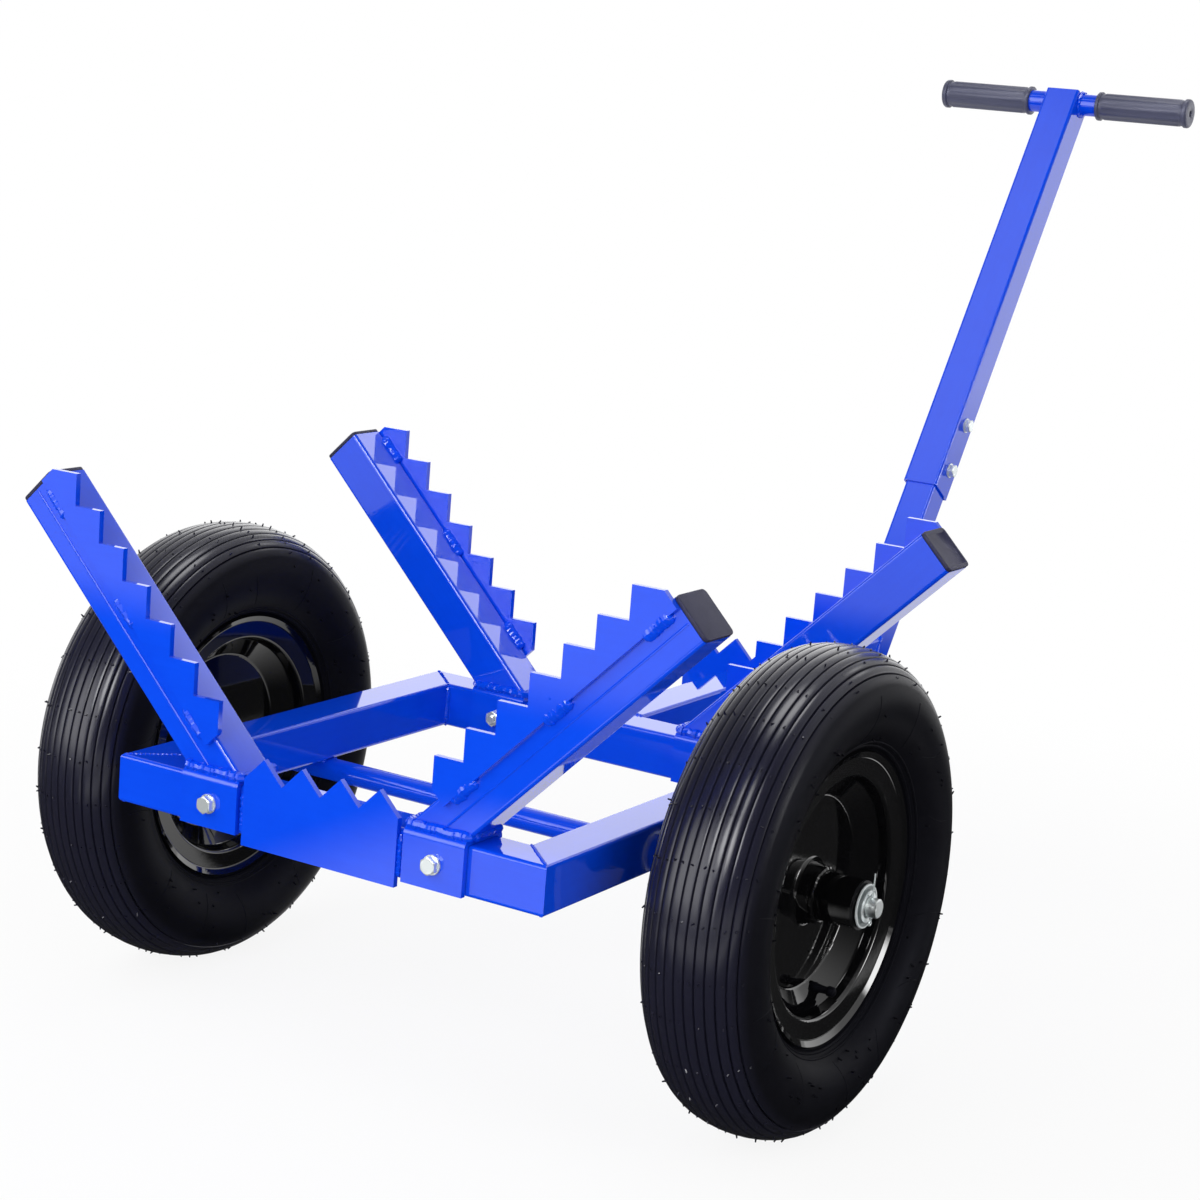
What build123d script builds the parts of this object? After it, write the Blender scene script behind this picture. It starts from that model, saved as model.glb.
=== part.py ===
from build123d import *
import os
from math import cos, degrees, pi, radians, sin

os.makedirs("parts", exist_ok=True)

# Millimetres and degrees. X runs along the axle, +Y points to the pull handle, Z is up.
# The dolly stands on z = 0 and its overall length is centred on y = 0.

# Square tube and plate stock
TUBE = 40.0
TUBE_WALL = 2.0
TUBE_CORNER = 3.0
PLATE = 5.0

# Frame
FRAME_WIDTH = 416.0
FRAME_LENGTH = 450.0

# Axle
AXLE_DIAMETER = 20.0
AXLE_LENGTH = 742.0
AXLE_SETBACK = 12.0
AXLE_TAIL = 6.7
AXLE_CHAMFER = 1.5

# Wheels
TYRE_DIAMETER = 400.0
TYRE_WIDTH = 100.0
CROWN_RADIUS = 85.0
CROWN_ANGLE = 15.0
TYRE_CASING = 7.0
BEAD_WIDTH = 10.0
GROOVES = 10
GROOVE_PITCH = 10.0
GROOVE_WIDTH = 2.0
GROOVE_DEPTH = 1.8
INNER_TUBE_WALL = 2.5

# Pressed rim, made of two halves back to back
RIM_SHEET = 2.5
RIM_WIDTH = 59.0
RIM_SEAT_DIAMETER = 202.0
RIM_FLANGE_DIAMETER = 239.0
RIM_WELL_DIAMETER = 164.0
RIM_NECK = 15.0
RIM_BEND = 4.0

# Hub and its bearings
HUB_DIAMETER = 40.0
HUB_WALL = 3.0
HUB_LENGTH = 100.0
BEARING_FLANGE = 2.0
BEARING_DEPTH = 16.0
BEARING_GROOVE = 1.2

# Axle fittings
WASHER = 3.0
WASHER_DIAMETER = 36.0
COLLAR = 4.0
COLLAR_WALL = 5.0
COTTER_DIAMETER = 3.6
COTTER_TAIL = 18.0
COTTER_OFFSET = 4.0

# Valve
VALVE_DIAMETER = 9.0
VALVE_LENGTH = 16.0
VALVE_TIP = 6.0
VALVE_TIP_DIAMETER = 6.0
VALVE_SEAT_DIAMETER = 172.0
VALVE_TURN = -78.0

# Saddles that hold the arms
SADDLE_PLACE = 109.5
SADDLE_BEND = 7.0

# Arms
ARM_LEAN = 45.0
ARM_LENGTH = 302.0

# Toothed plates
TOOTH_PITCH = 37.5
ARM_TEETH = 7
ARM_ROOT_RISE = 7.0
ARM_PLATE_LAP = 9.0
CRADLE_TEETH = 4
CRADLE_RISE = 8.5
CRADLE_DEPTH = 55.0
DRAWBAR_CRADLE_RISE = 11.0
DRAWBAR_CRADLE_PLACE = 247.0

# Tow bar
TOW_REACH = 500.0
TOW_LEAN = 56.8
SLIDE_TUBE = 35.0
TOW_TUBE_START = 189.0
TOW_TUBE_END = 708.0
SLIDE_TUBE_END = 310.0
TOW_BOLT_PLACES = (217.0, 274.0)

# Handle
HANDLE_DIAMETER = 25.0
HANDLE_WALL = 2.0
HANDLE_LENGTH = 294.0
HANDLE_PLACE = 701.0
GRIP_DIAMETER = 30.0
GRIP_LENGTH = 110.0
GRIP_END = 4.0
GRIP_RIBS = 10
GRIP_RIB = 0.8
GRIP_LIP = 1.2
GRIP_HOLE = 7.0

# Screws, nuts and washers, all of one size
BOLT_DIAMETER = 10.0
BOLT_ACROSS_FLATS = 17.0
BOLT_HEAD = 6.4
NUT_HEIGHT = 8.0
BOLT_WASHER = 2.0
BOLT_WASHER_DIAMETER = 20.0
BOLT_STICK_OUT = 3.0

# End caps
CAP = 3.5
CAP_CORNER = 4.0
CAP_PLUG = 14.0
CAP_WALL = 3.0
CAP_EDGE = 1.0

# Clearances
FIT = 0.3
HOLE_FIT = 0.5
SADDLE_FIT = 0.5
RUNNING_FIT = 0.05
END_PLAY = 0.3

# Heights, from the floor up
AXLE_Z = TYRE_DIAMETER / 2
FRAME_BOTTOM = AXLE_Z + AXLE_DIAMETER / 2
DECK = FRAME_BOTTOM + TUBE
TUBE_MIDDLE = FRAME_BOTTOM + TUBE / 2
SADDLE_TOP = DECK + FIT + PLATE

# Directions of the tow bar and of the near right arm
TOW_AXIS = Vector(0, cos(radians(TOW_LEAN)), sin(radians(TOW_LEAN)))
TOW_BACK = Vector(0, sin(radians(TOW_LEAN)), -cos(radians(TOW_LEAN)))
ARM_AXIS = Vector(cos(radians(ARM_LEAN)), 0, sin(radians(ARM_LEAN)))
ARM_OUT = Vector(sin(radians(ARM_LEAN)), 0, -cos(radians(ARM_LEAN)))

# The frame's middle lies where it centres the overall length on y = 0:
# the front end is the near saddle bolts, the back end is the top corner of the tow tube
NEAR_REACH = FRAME_LENGTH / 2 + SADDLE_FIT + PLATE + BOLT_WASHER + BOLT_HEAD
FAR_REACH = FRAME_LENGTH / 2 + TOW_REACH + TOW_TUBE_END * TOW_AXIS.Y + TUBE * TOW_BACK.Y
FRAME_Y = (NEAR_REACH - FAR_REACH) / 2
NEAR_FACE = FRAME_Y - FRAME_LENGTH / 2
FAR_FACE = FRAME_Y + FRAME_LENGTH / 2
AXLE_Y = FRAME_Y + AXLE_SETBACK

MIDDLE = Plane(origin=(0, FRAME_Y, 0), z_dir=(0, 1, 0))
AXLE_LINE = Axis((0, AXLE_Y, AXLE_Z), (1, 0, 0))
SIDES = {"right": 1, "left": -1}


def write(name, part):
    """Labels a finished piece and writes it to its own file."""
    part.label = name
    export_step(part, f"parts/{name}.step")


def write_corners(name, part):
    """Writes a near right piece and its mirror images at the frame's other three corners."""
    write(f"near_right_{name}", part)
    for corner, planes in (
        ("near_left", (Plane.YZ,)),
        ("far_right", (MIDDLE,)),
        ("far_left", (Plane.YZ, MIDDLE)),
    ):
        piece = part
        for plane in planes:
            with BuildPart() as image:
                mirror(piece, about=plane)
            piece = image.part
        write(f"{corner}_{name}", piece)


def tube_section(width, wall, corner):
    """Hollow square section, drawn in the open sketch."""
    RectangleRounded(width, width, corner)
    inner = width - 2 * wall
    RectangleRounded(inner, inner, corner - wall, mode=Mode.SUBTRACT)


def teeth(count, pitch, start, root):
    """Corners of a row of right-angled teeth that begins and ends at its root line."""
    points = [(start, root)]
    for tooth in range(count):
        points.append((start + (tooth + 0.5) * pitch, root + pitch / 2))
        points.append((start + (tooth + 1) * pitch, root))
    return points


# Frame: four square tubes, mitred and welded
for name, along, inward, length, across in (
    ("near_crossmember", Vector(1, 0, 0), Vector(0, 1, 0), FRAME_WIDTH, FRAME_LENGTH),
    ("far_crossmember", Vector(1, 0, 0), Vector(0, -1, 0), FRAME_WIDTH, FRAME_LENGTH),
    ("left_rail", Vector(0, 1, 0), Vector(1, 0, 0), FRAME_LENGTH, FRAME_WIDTH),
    ("right_rail", Vector(0, 1, 0), Vector(-1, 0, 0), FRAME_LENGTH, FRAME_WIDTH),
):
    centre = Vector(0, FRAME_Y, TUBE_MIDDLE) - inward * (across / 2 - TUBE / 2)
    with BuildPart() as member:
        with BuildSketch(Plane(origin=centre - along * (length / 2), x_dir=inward, z_dir=along)):
            tube_section(TUBE, TUBE_WALL, TUBE_CORNER)
        extrude(amount=length)
        for end in (1, -1):
            corner = centre + along * (end * length / 2) - inward * (TUBE / 2)
            mitre = Plane(origin=corner, z_dir=along * end + inward)
            split(bisect_by=mitre, keep=Keep.BOTTOM)
        if name.endswith("crossmember"):
            with Locations(Plane(origin=centre, x_dir=(1, 0, 0), z_dir=inward)):
                with Locations((SADDLE_PLACE, 0), (-SADDLE_PLACE, 0)):
                    Hole((BOLT_DIAMETER + HOLE_FIT) / 2, depth=TUBE)
    write(name, member.part)

# Axle: round bar welded under the rails, cross-drilled at each end for a split pin.
# Going in from the end of the bar come the pin, the outer washer and the wheel.
BEARING_FACE = HUB_LENGTH / 2 + BEARING_FLANGE
COTTER_X = AXLE_LENGTH / 2 - AXLE_TAIL
OUTER_WASHER_FACE = COTTER_X - COTTER_OFFSET - WASHER
WHEEL_X = OUTER_WASHER_FACE - END_PLAY - BEARING_FACE
INNER_WASHER_FACE = WHEEL_X - BEARING_FACE - END_PLAY

with BuildPart() as axle:
    with BuildSketch(Plane(origin=(-AXLE_LENGTH / 2, AXLE_Y, AXLE_Z), z_dir=(1, 0, 0))):
        Circle(AXLE_DIAMETER / 2)
    extrude(amount=AXLE_LENGTH)
    chamfer(axle.edges().filter_by(GeomType.CIRCLE), AXLE_CHAMFER)
    with Locations((COTTER_X, AXLE_Y, AXLE_Z), (-COTTER_X, AXLE_Y, AXLE_Z)):
        Hole(COTTER_DIAMETER / 2 + FIT / 2, depth=AXLE_DIAMETER)
write("axle", axle.part)


def axle_rings(name, outer, start, thickness, bore_fit, edge):
    """A pair of like rings on the axle, one at each wheel, from start outwards."""
    with BuildPart() as rings:
        with BuildSketch(Plane(origin=(start, AXLE_Y, AXLE_Z), z_dir=(1, 0, 0))):
            Circle(outer / 2)
            Circle(AXLE_DIAMETER / 2 + bore_fit, mode=Mode.SUBTRACT)
        extrude(amount=thickness)
        rims = rings.edges().filter_by(GeomType.CIRCLE).filter_by(lambda e: e.radius > outer / 2 - edge)
        chamfer(rims, edge)
        mirror(about=Plane.YZ)
    write(name, rings.part)


# Washers and split pins keep each wheel on, and a welded collar stops it on the frame side
axle_rings("outer_washers", WASHER_DIAMETER, OUTER_WASHER_FACE, WASHER, FIT, FIT)
axle_rings("inner_washers", WASHER_DIAMETER, INNER_WASHER_FACE - WASHER, WASHER, FIT, FIT)
axle_rings(
    "axle_collars",
    AXLE_DIAMETER + 2 * COLLAR_WALL,
    INNER_WASHER_FACE - WASHER - END_PLAY - COLLAR,
    COLLAR,
    0,
    AXLE_CHAMFER,
)

COTTER_WIRE = COTTER_DIAMETER / 2
COTTER_EYE_Z = AXLE_Z - AXLE_DIAMETER / 2 - COTTER_DIAMETER
COTTER_SPLIT_Z = AXLE_Z + AXLE_DIAMETER / 2

with BuildPart() as cotter_pins:
    with BuildSketch(Plane(origin=(COTTER_X, AXLE_Y, COTTER_EYE_Z))):
        Circle(COTTER_WIRE)
    extrude(amount=COTTER_SPLIT_Z - COTTER_EYE_Z)
    with BuildSketch(Plane(origin=(COTTER_X, AXLE_Y, COTTER_EYE_Z), x_dir=(0, -1, 0), z_dir=(-1, 0, 0))):
        with Locations((0, -COTTER_WIRE)):
            Circle(COTTER_DIAMETER)
            Circle(COTTER_WIRE, mode=Mode.SUBTRACT)
    extrude(amount=COTTER_WIRE / 2, both=True)
    with BuildSketch(Plane(origin=(COTTER_X, AXLE_Y, COTTER_SPLIT_Z))):
        Circle(COTTER_WIRE)
        Rectangle(COTTER_DIAMETER, COTTER_DIAMETER, align=(Align.CENTER, Align.MAX), mode=Mode.SUBTRACT)
    extrude(amount=COTTER_TAIL)
    leg_plane = Plane(origin=(COTTER_X, AXLE_Y, COTTER_SPLIT_Z), x_dir=(0, -1, 0), z_dir=(-1, 0, 0))
    with BuildLine(leg_plane) as leg:
        rise = COTTER_DIAMETER + COTTER_WIRE
        FilletPolyline((0, 0), (0, rise), (COTTER_TAIL - rise, rise), radius=COTTER_DIAMETER)
    with BuildSketch(Plane(origin=(COTTER_X, AXLE_Y, COTTER_SPLIT_Z))):
        Circle(COTTER_WIRE)
        Rectangle(COTTER_DIAMETER, COTTER_DIAMETER, align=(Align.CENTER, Align.MIN), mode=Mode.SUBTRACT)
    sweep(path=leg.line)
    mirror(about=Plane.YZ)
write("cotter_pins", cotter_pins.part)

# Saddles: bent strap over each crossmember, as wide as the arm's foot, with one cross bolt
ARM_FOOT = TUBE / sin(radians(ARM_LEAN))
SADDLE_OUTSIDE = TUBE + 2 * SADDLE_FIT + 2 * PLATE
CROSSMEMBER_Y = NEAR_FACE + TUBE / 2
SADDLE_HEIGHT = SADDLE_TOP - FRAME_BOTTOM

with BuildPart() as saddle:
    side_origin = (SADDLE_PLACE - ARM_FOOT / 2, CROSSMEMBER_Y, FRAME_BOTTOM)
    with BuildSketch(Plane(origin=side_origin, z_dir=(1, 0, 0), x_dir=(0, 1, 0))):
        Rectangle(SADDLE_OUTSIDE, SADDLE_HEIGHT, align=(Align.CENTER, Align.MIN))
        Rectangle(
            SADDLE_OUTSIDE - 2 * PLATE,
            SADDLE_HEIGHT - PLATE,
            align=(Align.CENTER, Align.MIN),
            mode=Mode.SUBTRACT,
        )
    extrude(amount=ARM_FOOT)
    bends = saddle.edges().filter_by(Axis.X).group_by(Axis.Z)
    fillet(bends[-1], SADDLE_BEND)
    fillet(bends[-2], SADDLE_BEND - PLATE)
    with Locations(Plane(origin=(SADDLE_PLACE, CROSSMEMBER_Y, TUBE_MIDDLE), z_dir=(0, 1, 0))):
        Hole((BOLT_DIAMETER + HOLE_FIT) / 2, depth=SADDLE_OUTSIDE)
write_corners("saddle", saddle.part)

# Arms: square tube that leans outwards, foot cut level and welded to the saddle
ARM_BASE = Vector(SADDLE_PLACE - ARM_FOOT / 2, CROSSMEMBER_Y, SADDLE_TOP)
ARM_TOP = ARM_BASE + ARM_AXIS * ARM_LENGTH + ARM_OUT * (TUBE / 2)

with BuildPart() as arm:
    with BuildSketch(Plane(origin=ARM_TOP, x_dir=(0, 1, 0), z_dir=-ARM_AXIS)):
        tube_section(TUBE, TUBE_WALL, TUBE_CORNER)
    extrude(amount=ARM_LENGTH)
    split(bisect_by=Plane.XY.offset(SADDLE_TOP), keep=Keep.TOP)
write_corners("arm", arm.part)

with BuildPart() as arm_cap:
    plug = TUBE - 2 * TUBE_WALL - 2 * FIT
    with BuildSketch(Plane(origin=ARM_TOP, x_dir=(0, 1, 0), z_dir=ARM_AXIS)):
        RectangleRounded(TUBE, TUBE, CAP_CORNER)
    extrude(amount=CAP)
    fillet(arm_cap.faces().sort_by(Axis(ARM_TOP, ARM_AXIS))[-1].edges(), CAP_EDGE)
    with BuildSketch(Plane(origin=ARM_TOP, x_dir=(0, 1, 0), z_dir=-ARM_AXIS)):
        Rectangle(plug, plug)
        Rectangle(plug - 2 * CAP_WALL, plug - 2 * CAP_WALL, mode=Mode.SUBTRACT)
    extrude(amount=CAP_PLUG)
write_corners("arm_cap", arm_cap.part)

# Arm tooth plates: sawtooth edge along the inside of each arm, stitch welded to its outer face
ARM_PLATE_START = ARM_LENGTH - ARM_TEETH * TOOTH_PITCH

with BuildPart() as tooth_plate:
    face = Plane(origin=(ARM_BASE.X, NEAR_FACE, ARM_BASE.Z), x_dir=ARM_AXIS, z_dir=(0, -1, 0))
    with BuildSketch(face):
        with BuildLine():
            row = teeth(ARM_TEETH, TOOTH_PITCH, ARM_PLATE_START, ARM_ROOT_RISE)
            Polyline(row + [(ARM_LENGTH, -ARM_PLATE_LAP), (ARM_PLATE_START, -ARM_PLATE_LAP)], close=True)
        make_face()
    extrude(amount=PLATE)
write_corners("tooth_plate", tooth_plate.part)


def cradle_plate(name, y, root_z, notch):
    """Upright plate with a zigzag top edge, and a notch where it straddles a tube."""
    half = CRADLE_TEETH * TOOTH_PITCH / 2
    with BuildPart() as plate:
        with BuildSketch(Plane(origin=(0, y, 0), x_dir=(1, 0, 0), z_dir=(0, -1, 0))):
            with BuildLine():
                row = teeth(CRADLE_TEETH, TOOTH_PITCH, -half, root_z)
                Polyline(row + [(half, root_z - CRADLE_DEPTH), (-half, root_z - CRADLE_DEPTH)], close=True)
            make_face()
            if notch:
                with Locations((0, root_z - CRADLE_DEPTH)):
                    Rectangle(
                        TUBE + 2 * FIT,
                        DECK - (root_z - CRADLE_DEPTH),
                        align=(Align.CENTER, Align.MIN),
                        mode=Mode.SUBTRACT,
                    )
        extrude(amount=PLATE)
    write(name, plate.part)


# Cradle plates: one on the near crossmember's face, one straddling the drawbar
cradle_plate("near_cradle_plate", NEAR_FACE, DECK + CRADLE_RISE, False)
cradle_plate("drawbar_cradle_plate", FAR_FACE + DRAWBAR_CRADLE_PLACE, DECK + DRAWBAR_CRADLE_RISE, True)


def hexagon(height):
    """Hexagon head or nut on the XY plane, chamfered all round its top."""
    with BuildPart() as block:
        with BuildSketch():
            RegularPolygon(BOLT_ACROSS_FLATS / 2, 6, major_radius=False)
        extrude(amount=height)
        with BuildSketch():
            Circle(BOLT_ACROSS_FLATS / 2 + height)
        extrude(amount=height, taper=45, mode=Mode.INTERSECT)
    return block.part


def bolt_set(name, spots, grip):
    """Bolts, nuts and washers. Each spot is a plane where a washer lies, facing the bolt's head."""
    head = hexagon(BOLT_HEAD)
    nut = hexagon(NUT_HEIGHT)
    with BuildPart() as bolt:
        with Locations((0, 0, BOLT_WASHER)):
            add(head)
        with BuildSketch(Plane.XY.offset(BOLT_WASHER)):
            Circle(BOLT_DIAMETER / 2)
        extrude(amount=-(BOLT_WASHER + grip + NUT_HEIGHT + BOLT_STICK_OUT))
    with BuildPart() as drilled_nut:
        add(nut, rotation=(180, 0, 0))
        with Locations((0, 0, -NUT_HEIGHT / 2)):
            Hole(BOLT_DIAMETER / 2 + RUNNING_FIT, depth=NUT_HEIGHT)
    with BuildPart() as washer:
        with BuildSketch():
            Circle(BOLT_WASHER_DIAMETER / 2)
            Circle((BOLT_DIAMETER + HOLE_FIT) / 2, mode=Mode.SUBTRACT)
        extrude(amount=BOLT_WASHER)
    for kind, piece, depth in (("bolts", bolt, 0), ("nuts", drilled_nut, grip), ("washers", washer, 0)):
        with BuildPart() as group:
            with Locations(*(spot.offset(-depth) for spot in spots)):
                add(piece.part)
        write(f"{name}_{kind}", group.part)


# Saddle bolts: heads on the outside, nuts on the inside of the frame
SADDLE_REACH = (FRAME_LENGTH - TUBE + SADDLE_OUTSIDE) / 2
saddle_spots = [
    Plane(
        origin=(side * SADDLE_PLACE, FRAME_Y + hand * SADDLE_REACH, TUBE_MIDDLE),
        x_dir=(1, 0, 0),
        z_dir=(0, hand, 0),
    )
    for side in (1, -1)
    for hand in (1, -1)
]
bolt_set("saddle", saddle_spots, SADDLE_OUTSIDE)

# Tow bar: planes square to it, measured along its near face from the height of the deck
TOW_FOOT = Vector(0, FAR_FACE + TOW_REACH, DECK)
TOW_MIDDLE = TOW_FOOT + TOW_BACK * (TUBE / 2)


def tow_plane(along):
    """Plane across the tow bar, centred in its tube."""
    return Plane(origin=TOW_MIDDLE + TOW_AXIS * along, x_dir=(1, 0, 0), z_dir=TOW_AXIS)


def tow_side(along, side):
    """Plane on the right (1) or left (-1) face of the tow bar, facing away from it."""
    centre = TOW_MIDDLE + TOW_AXIS * along + Vector(side * TUBE / 2, 0, 0)
    return Plane(origin=centre, x_dir=TOW_AXIS, z_dir=(side, 0, 0))


# Drawbar: square tube from the frame to the tow bar, its end cut to the lean
SLIDE_INSET = (TUBE - SLIDE_TUBE) / 2
with BuildPart() as drawbar:
    with BuildSketch(Plane(origin=(0, FAR_FACE, TUBE_MIDDLE), x_dir=(1, 0, 0), z_dir=(0, 1, 0))):
        tube_section(TUBE, TUBE_WALL, TUBE_CORNER)
    extrude(amount=TOW_REACH + TUBE)
    split(bisect_by=Plane(origin=TOW_FOOT + TOW_BACK * SLIDE_INSET, z_dir=TOW_BACK), keep=Keep.BOTTOM)
write("drawbar", drawbar.part)

# Lower tow tube: slides inside the upper one, welded to the drawbar, and stands on the floor
FOOT_ALONG = -(DECK + TUBE) / TOW_AXIS.Z
with BuildPart() as lower_tow_tube:
    with BuildSketch(tow_plane(FOOT_ALONG)):
        tube_section(SLIDE_TUBE, TUBE_WALL, TUBE_CORNER)
    extrude(amount=SLIDE_TUBE_END - FOOT_ALONG)
    split(bisect_by=Plane.XY.offset(CAP), keep=Keep.TOP)
    with Locations(*(tow_side(place, 1) for place in TOW_BOLT_PLACES)):
        Hole((BOLT_DIAMETER + HOLE_FIT) / 2, depth=TUBE / 2)
write("lower_tow_tube", lower_tow_tube.part)

with BuildPart() as foot_cap:
    foot_y = (TOW_MIDDLE + TOW_AXIS * (-(TOW_MIDDLE.Z - CAP) / TOW_AXIS.Z)).Y
    with BuildSketch(Plane(origin=(0, foot_y, 0))):
        RectangleRounded(SLIDE_TUBE, SLIDE_TUBE / TOW_AXIS.Z, TUBE_CORNER)
    extrude(amount=CAP)
    plug = SLIDE_TUBE - 2 * TUBE_WALL - 2 * FIT
    with BuildSketch(tow_plane(FOOT_ALONG)):
        Rectangle(plug, plug)
    extrude(amount=(CAP - TOW_MIDDLE.Z) / TOW_AXIS.Z - FOOT_ALONG + CAP_PLUG)
    split(bisect_by=Plane.XY, keep=Keep.TOP)
write("foot_cap", foot_cap.part)

# Upper tow tube: square tube that carries the handle, notched for its bar at the top
# and drilled in its right wall for two bolts
with BuildPart() as upper_tow_tube:
    with BuildSketch(tow_plane(TOW_TUBE_START)):
        tube_section(TUBE, TUBE_WALL, TUBE_CORNER)
    extrude(amount=TOW_TUBE_END - TOW_TUBE_START)
    with Locations(*(tow_side(place, 1) for place in TOW_BOLT_PLACES)):
        Hole((BOLT_DIAMETER + HOLE_FIT) / 2, depth=TUBE / 2)
    with Locations(tow_side(HANDLE_PLACE, 1)):
        Hole(HANDLE_DIAMETER / 2 + FIT / 2, depth=TUBE)
write("upper_tow_tube", upper_tow_tube.part)

# Tow bolts: heads on the right face, nuts inside the lower tube
bolt_set("tow", [tow_side(place, 1) for place in TOW_BOLT_PLACES], SLIDE_INSET + TUBE_WALL)

# Handle: round tube through the top of the tow bar, with a ribbed grip on each end
HANDLE_CENTRE = TOW_MIDDLE + TOW_AXIS * HANDLE_PLACE

with BuildPart() as handle_bar:
    with BuildSketch(Plane(origin=HANDLE_CENTRE - Vector(HANDLE_LENGTH / 2, 0, 0), z_dir=(1, 0, 0))):
        Circle(HANDLE_DIAMETER / 2)
        Circle(HANDLE_DIAMETER / 2 - HANDLE_WALL, mode=Mode.SUBTRACT)
    extrude(amount=HANDLE_LENGTH)
write("handle_bar", handle_bar.part)

for name, side in SIDES.items():
    cap_x = side * (HANDLE_LENGTH / 2 + FIT)
    with BuildPart() as grip:
        end = Plane(origin=HANDLE_CENTRE + Vector(cap_x, 0, 0), z_dir=(side, 0, 0))
        sleeve = -(GRIP_LENGTH - GRIP_END)
        with BuildSketch(end):
            Circle(GRIP_DIAMETER / 2)
            with PolarLocations(GRIP_DIAMETER / 2, GRIP_RIBS):
                Rectangle(2 * GRIP_RIB, pi * GRIP_DIAMETER / GRIP_RIBS / 2)
        extrude(amount=sleeve)
        with BuildSketch(end):
            Circle(GRIP_DIAMETER / 2 + GRIP_LIP)
        extrude(amount=GRIP_END)
        lip_edges = grip.edges().filter_by(GeomType.CIRCLE).sort_by(Axis((0, 0, 0), (side, 0, 0)))[-1]
        fillet(lip_edges, GRIP_LIP)
        with BuildSketch(end.offset(sleeve)):
            Circle(GRIP_DIAMETER / 2 + GRIP_LIP)
        extrude(amount=GRIP_END)
        with BuildSketch(end):
            Circle(HANDLE_DIAMETER / 2 + RUNNING_FIT)
        extrude(amount=sleeve, mode=Mode.SUBTRACT)
        with BuildSketch(end):
            Circle(GRIP_HOLE / 2)
        extrude(amount=GRIP_END, mode=Mode.SUBTRACT)
    write(f"{name}_grip", grip.part)

# Tyre outline: crown arc, then a shoulder arc that is upright at the widest place
CROWN_X = CROWN_RADIUS * sin(radians(CROWN_ANGLE))
CROWN_R = TYRE_DIAMETER / 2 - CROWN_RADIUS * (1 - cos(radians(CROWN_ANGLE)))
SHOULDER_RADIUS = (TYRE_WIDTH / 2 - CROWN_X) / (1 - sin(radians(CROWN_ANGLE)))
WIDEST_R = CROWN_R - SHOULDER_RADIUS * cos(radians(CROWN_ANGLE))
FLANGE_R = RIM_FLANGE_DIAMETER / 2
BEAD_R = RIM_SEAT_DIAMETER / 2 + FIT
BEAD_X = RIM_WIDTH / 2 - 2 * RIM_SHEET - FIT
INNER_TUBE_START = FLANGE_R + RIM_SHEET
INNER_TUBE_HIGH = (TYRE_DIAMETER / 2 - TYRE_CASING - FIT - INNER_TUBE_START) / 2
INNER_TUBE_WIDE = TYRE_WIDTH / 2 - TYRE_CASING - BEAD_WIDTH - RIM_SHEET


def tread_place(along):
    """Point on the tyre's outline and the slope there, by the distance along it from the crown."""
    crown = CROWN_RADIUS * radians(CROWN_ANGLE)
    hand = 1 if along > 0 else -1
    if abs(along) < crown:
        turn = abs(along) / CROWN_RADIUS
        x = CROWN_RADIUS * sin(turn)
        r = TYRE_DIAMETER / 2 - CROWN_RADIUS * (1 - cos(turn))
    else:
        turn = radians(CROWN_ANGLE) + (abs(along) - crown) / SHOULDER_RADIUS
        x = TYRE_WIDTH / 2 - SHOULDER_RADIUS * (1 - sin(turn))
        r = WIDEST_R + SHOULDER_RADIUS * cos(turn)
    return hand * x, r, -hand * degrees(turn)


# Tyre over its beads, and the band of it that the inner tube fills
with BuildSketch() as tyre_shape:
    with BuildLine():
        for hand in (1, -1):
            bead = Line((0, BEAD_R), (hand * BEAD_X, BEAD_R))
            heel = Line(bead @ 1, (hand * (BEAD_X + RIM_SHEET - FIT), FLANGE_R - 2 * RIM_SHEET))
            lip = Line(heel @ 1, (hand * (RIM_WIDTH / 2 - 2 * FIT), FLANGE_R + RIM_SHEET))
            sidewall = TangentArc((hand * TYRE_WIDTH / 2, WIDEST_R), lip @ 1, tangent=(0, -1))
            shoulder = TangentArc(sidewall @ 0, (hand * CROWN_X, CROWN_R), tangent=(0, 1))
            TangentArc(shoulder @ 1, (0, TYRE_DIAMETER / 2), tangent=shoulder % 1)
    make_face()

# Rim outline on its open side, from the hub out: neck, disc, well, bead seat and flange
NECK_R = HUB_DIAMETER / 2 + FIT + RIM_SHEET
SEAT_R = RIM_SEAT_DIAMETER / 2 - RIM_SHEET
WELL_R = RIM_WELL_DIAMETER / 2 - RIM_SHEET
SEAT_X = RIM_WIDTH / 2 - RIM_SHEET - BEAD_WIDTH
rim_points = (
    (RIM_NECK, NECK_R),
    (RIM_SHEET, NECK_R + RIM_BEND),
    (RIM_SHEET, WELL_R),
    (SEAT_X, SEAT_R - RIM_SHEET),
    (RIM_WIDTH / 2 - RIM_SHEET, SEAT_R),
    (RIM_WIDTH / 2, FLANGE_R - 2 * RIM_SHEET),
    (RIM_WIDTH / 2 + RIM_SHEET, FLANGE_R),
)
VALVE_R = VALVE_SEAT_DIAMETER / 2

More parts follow.
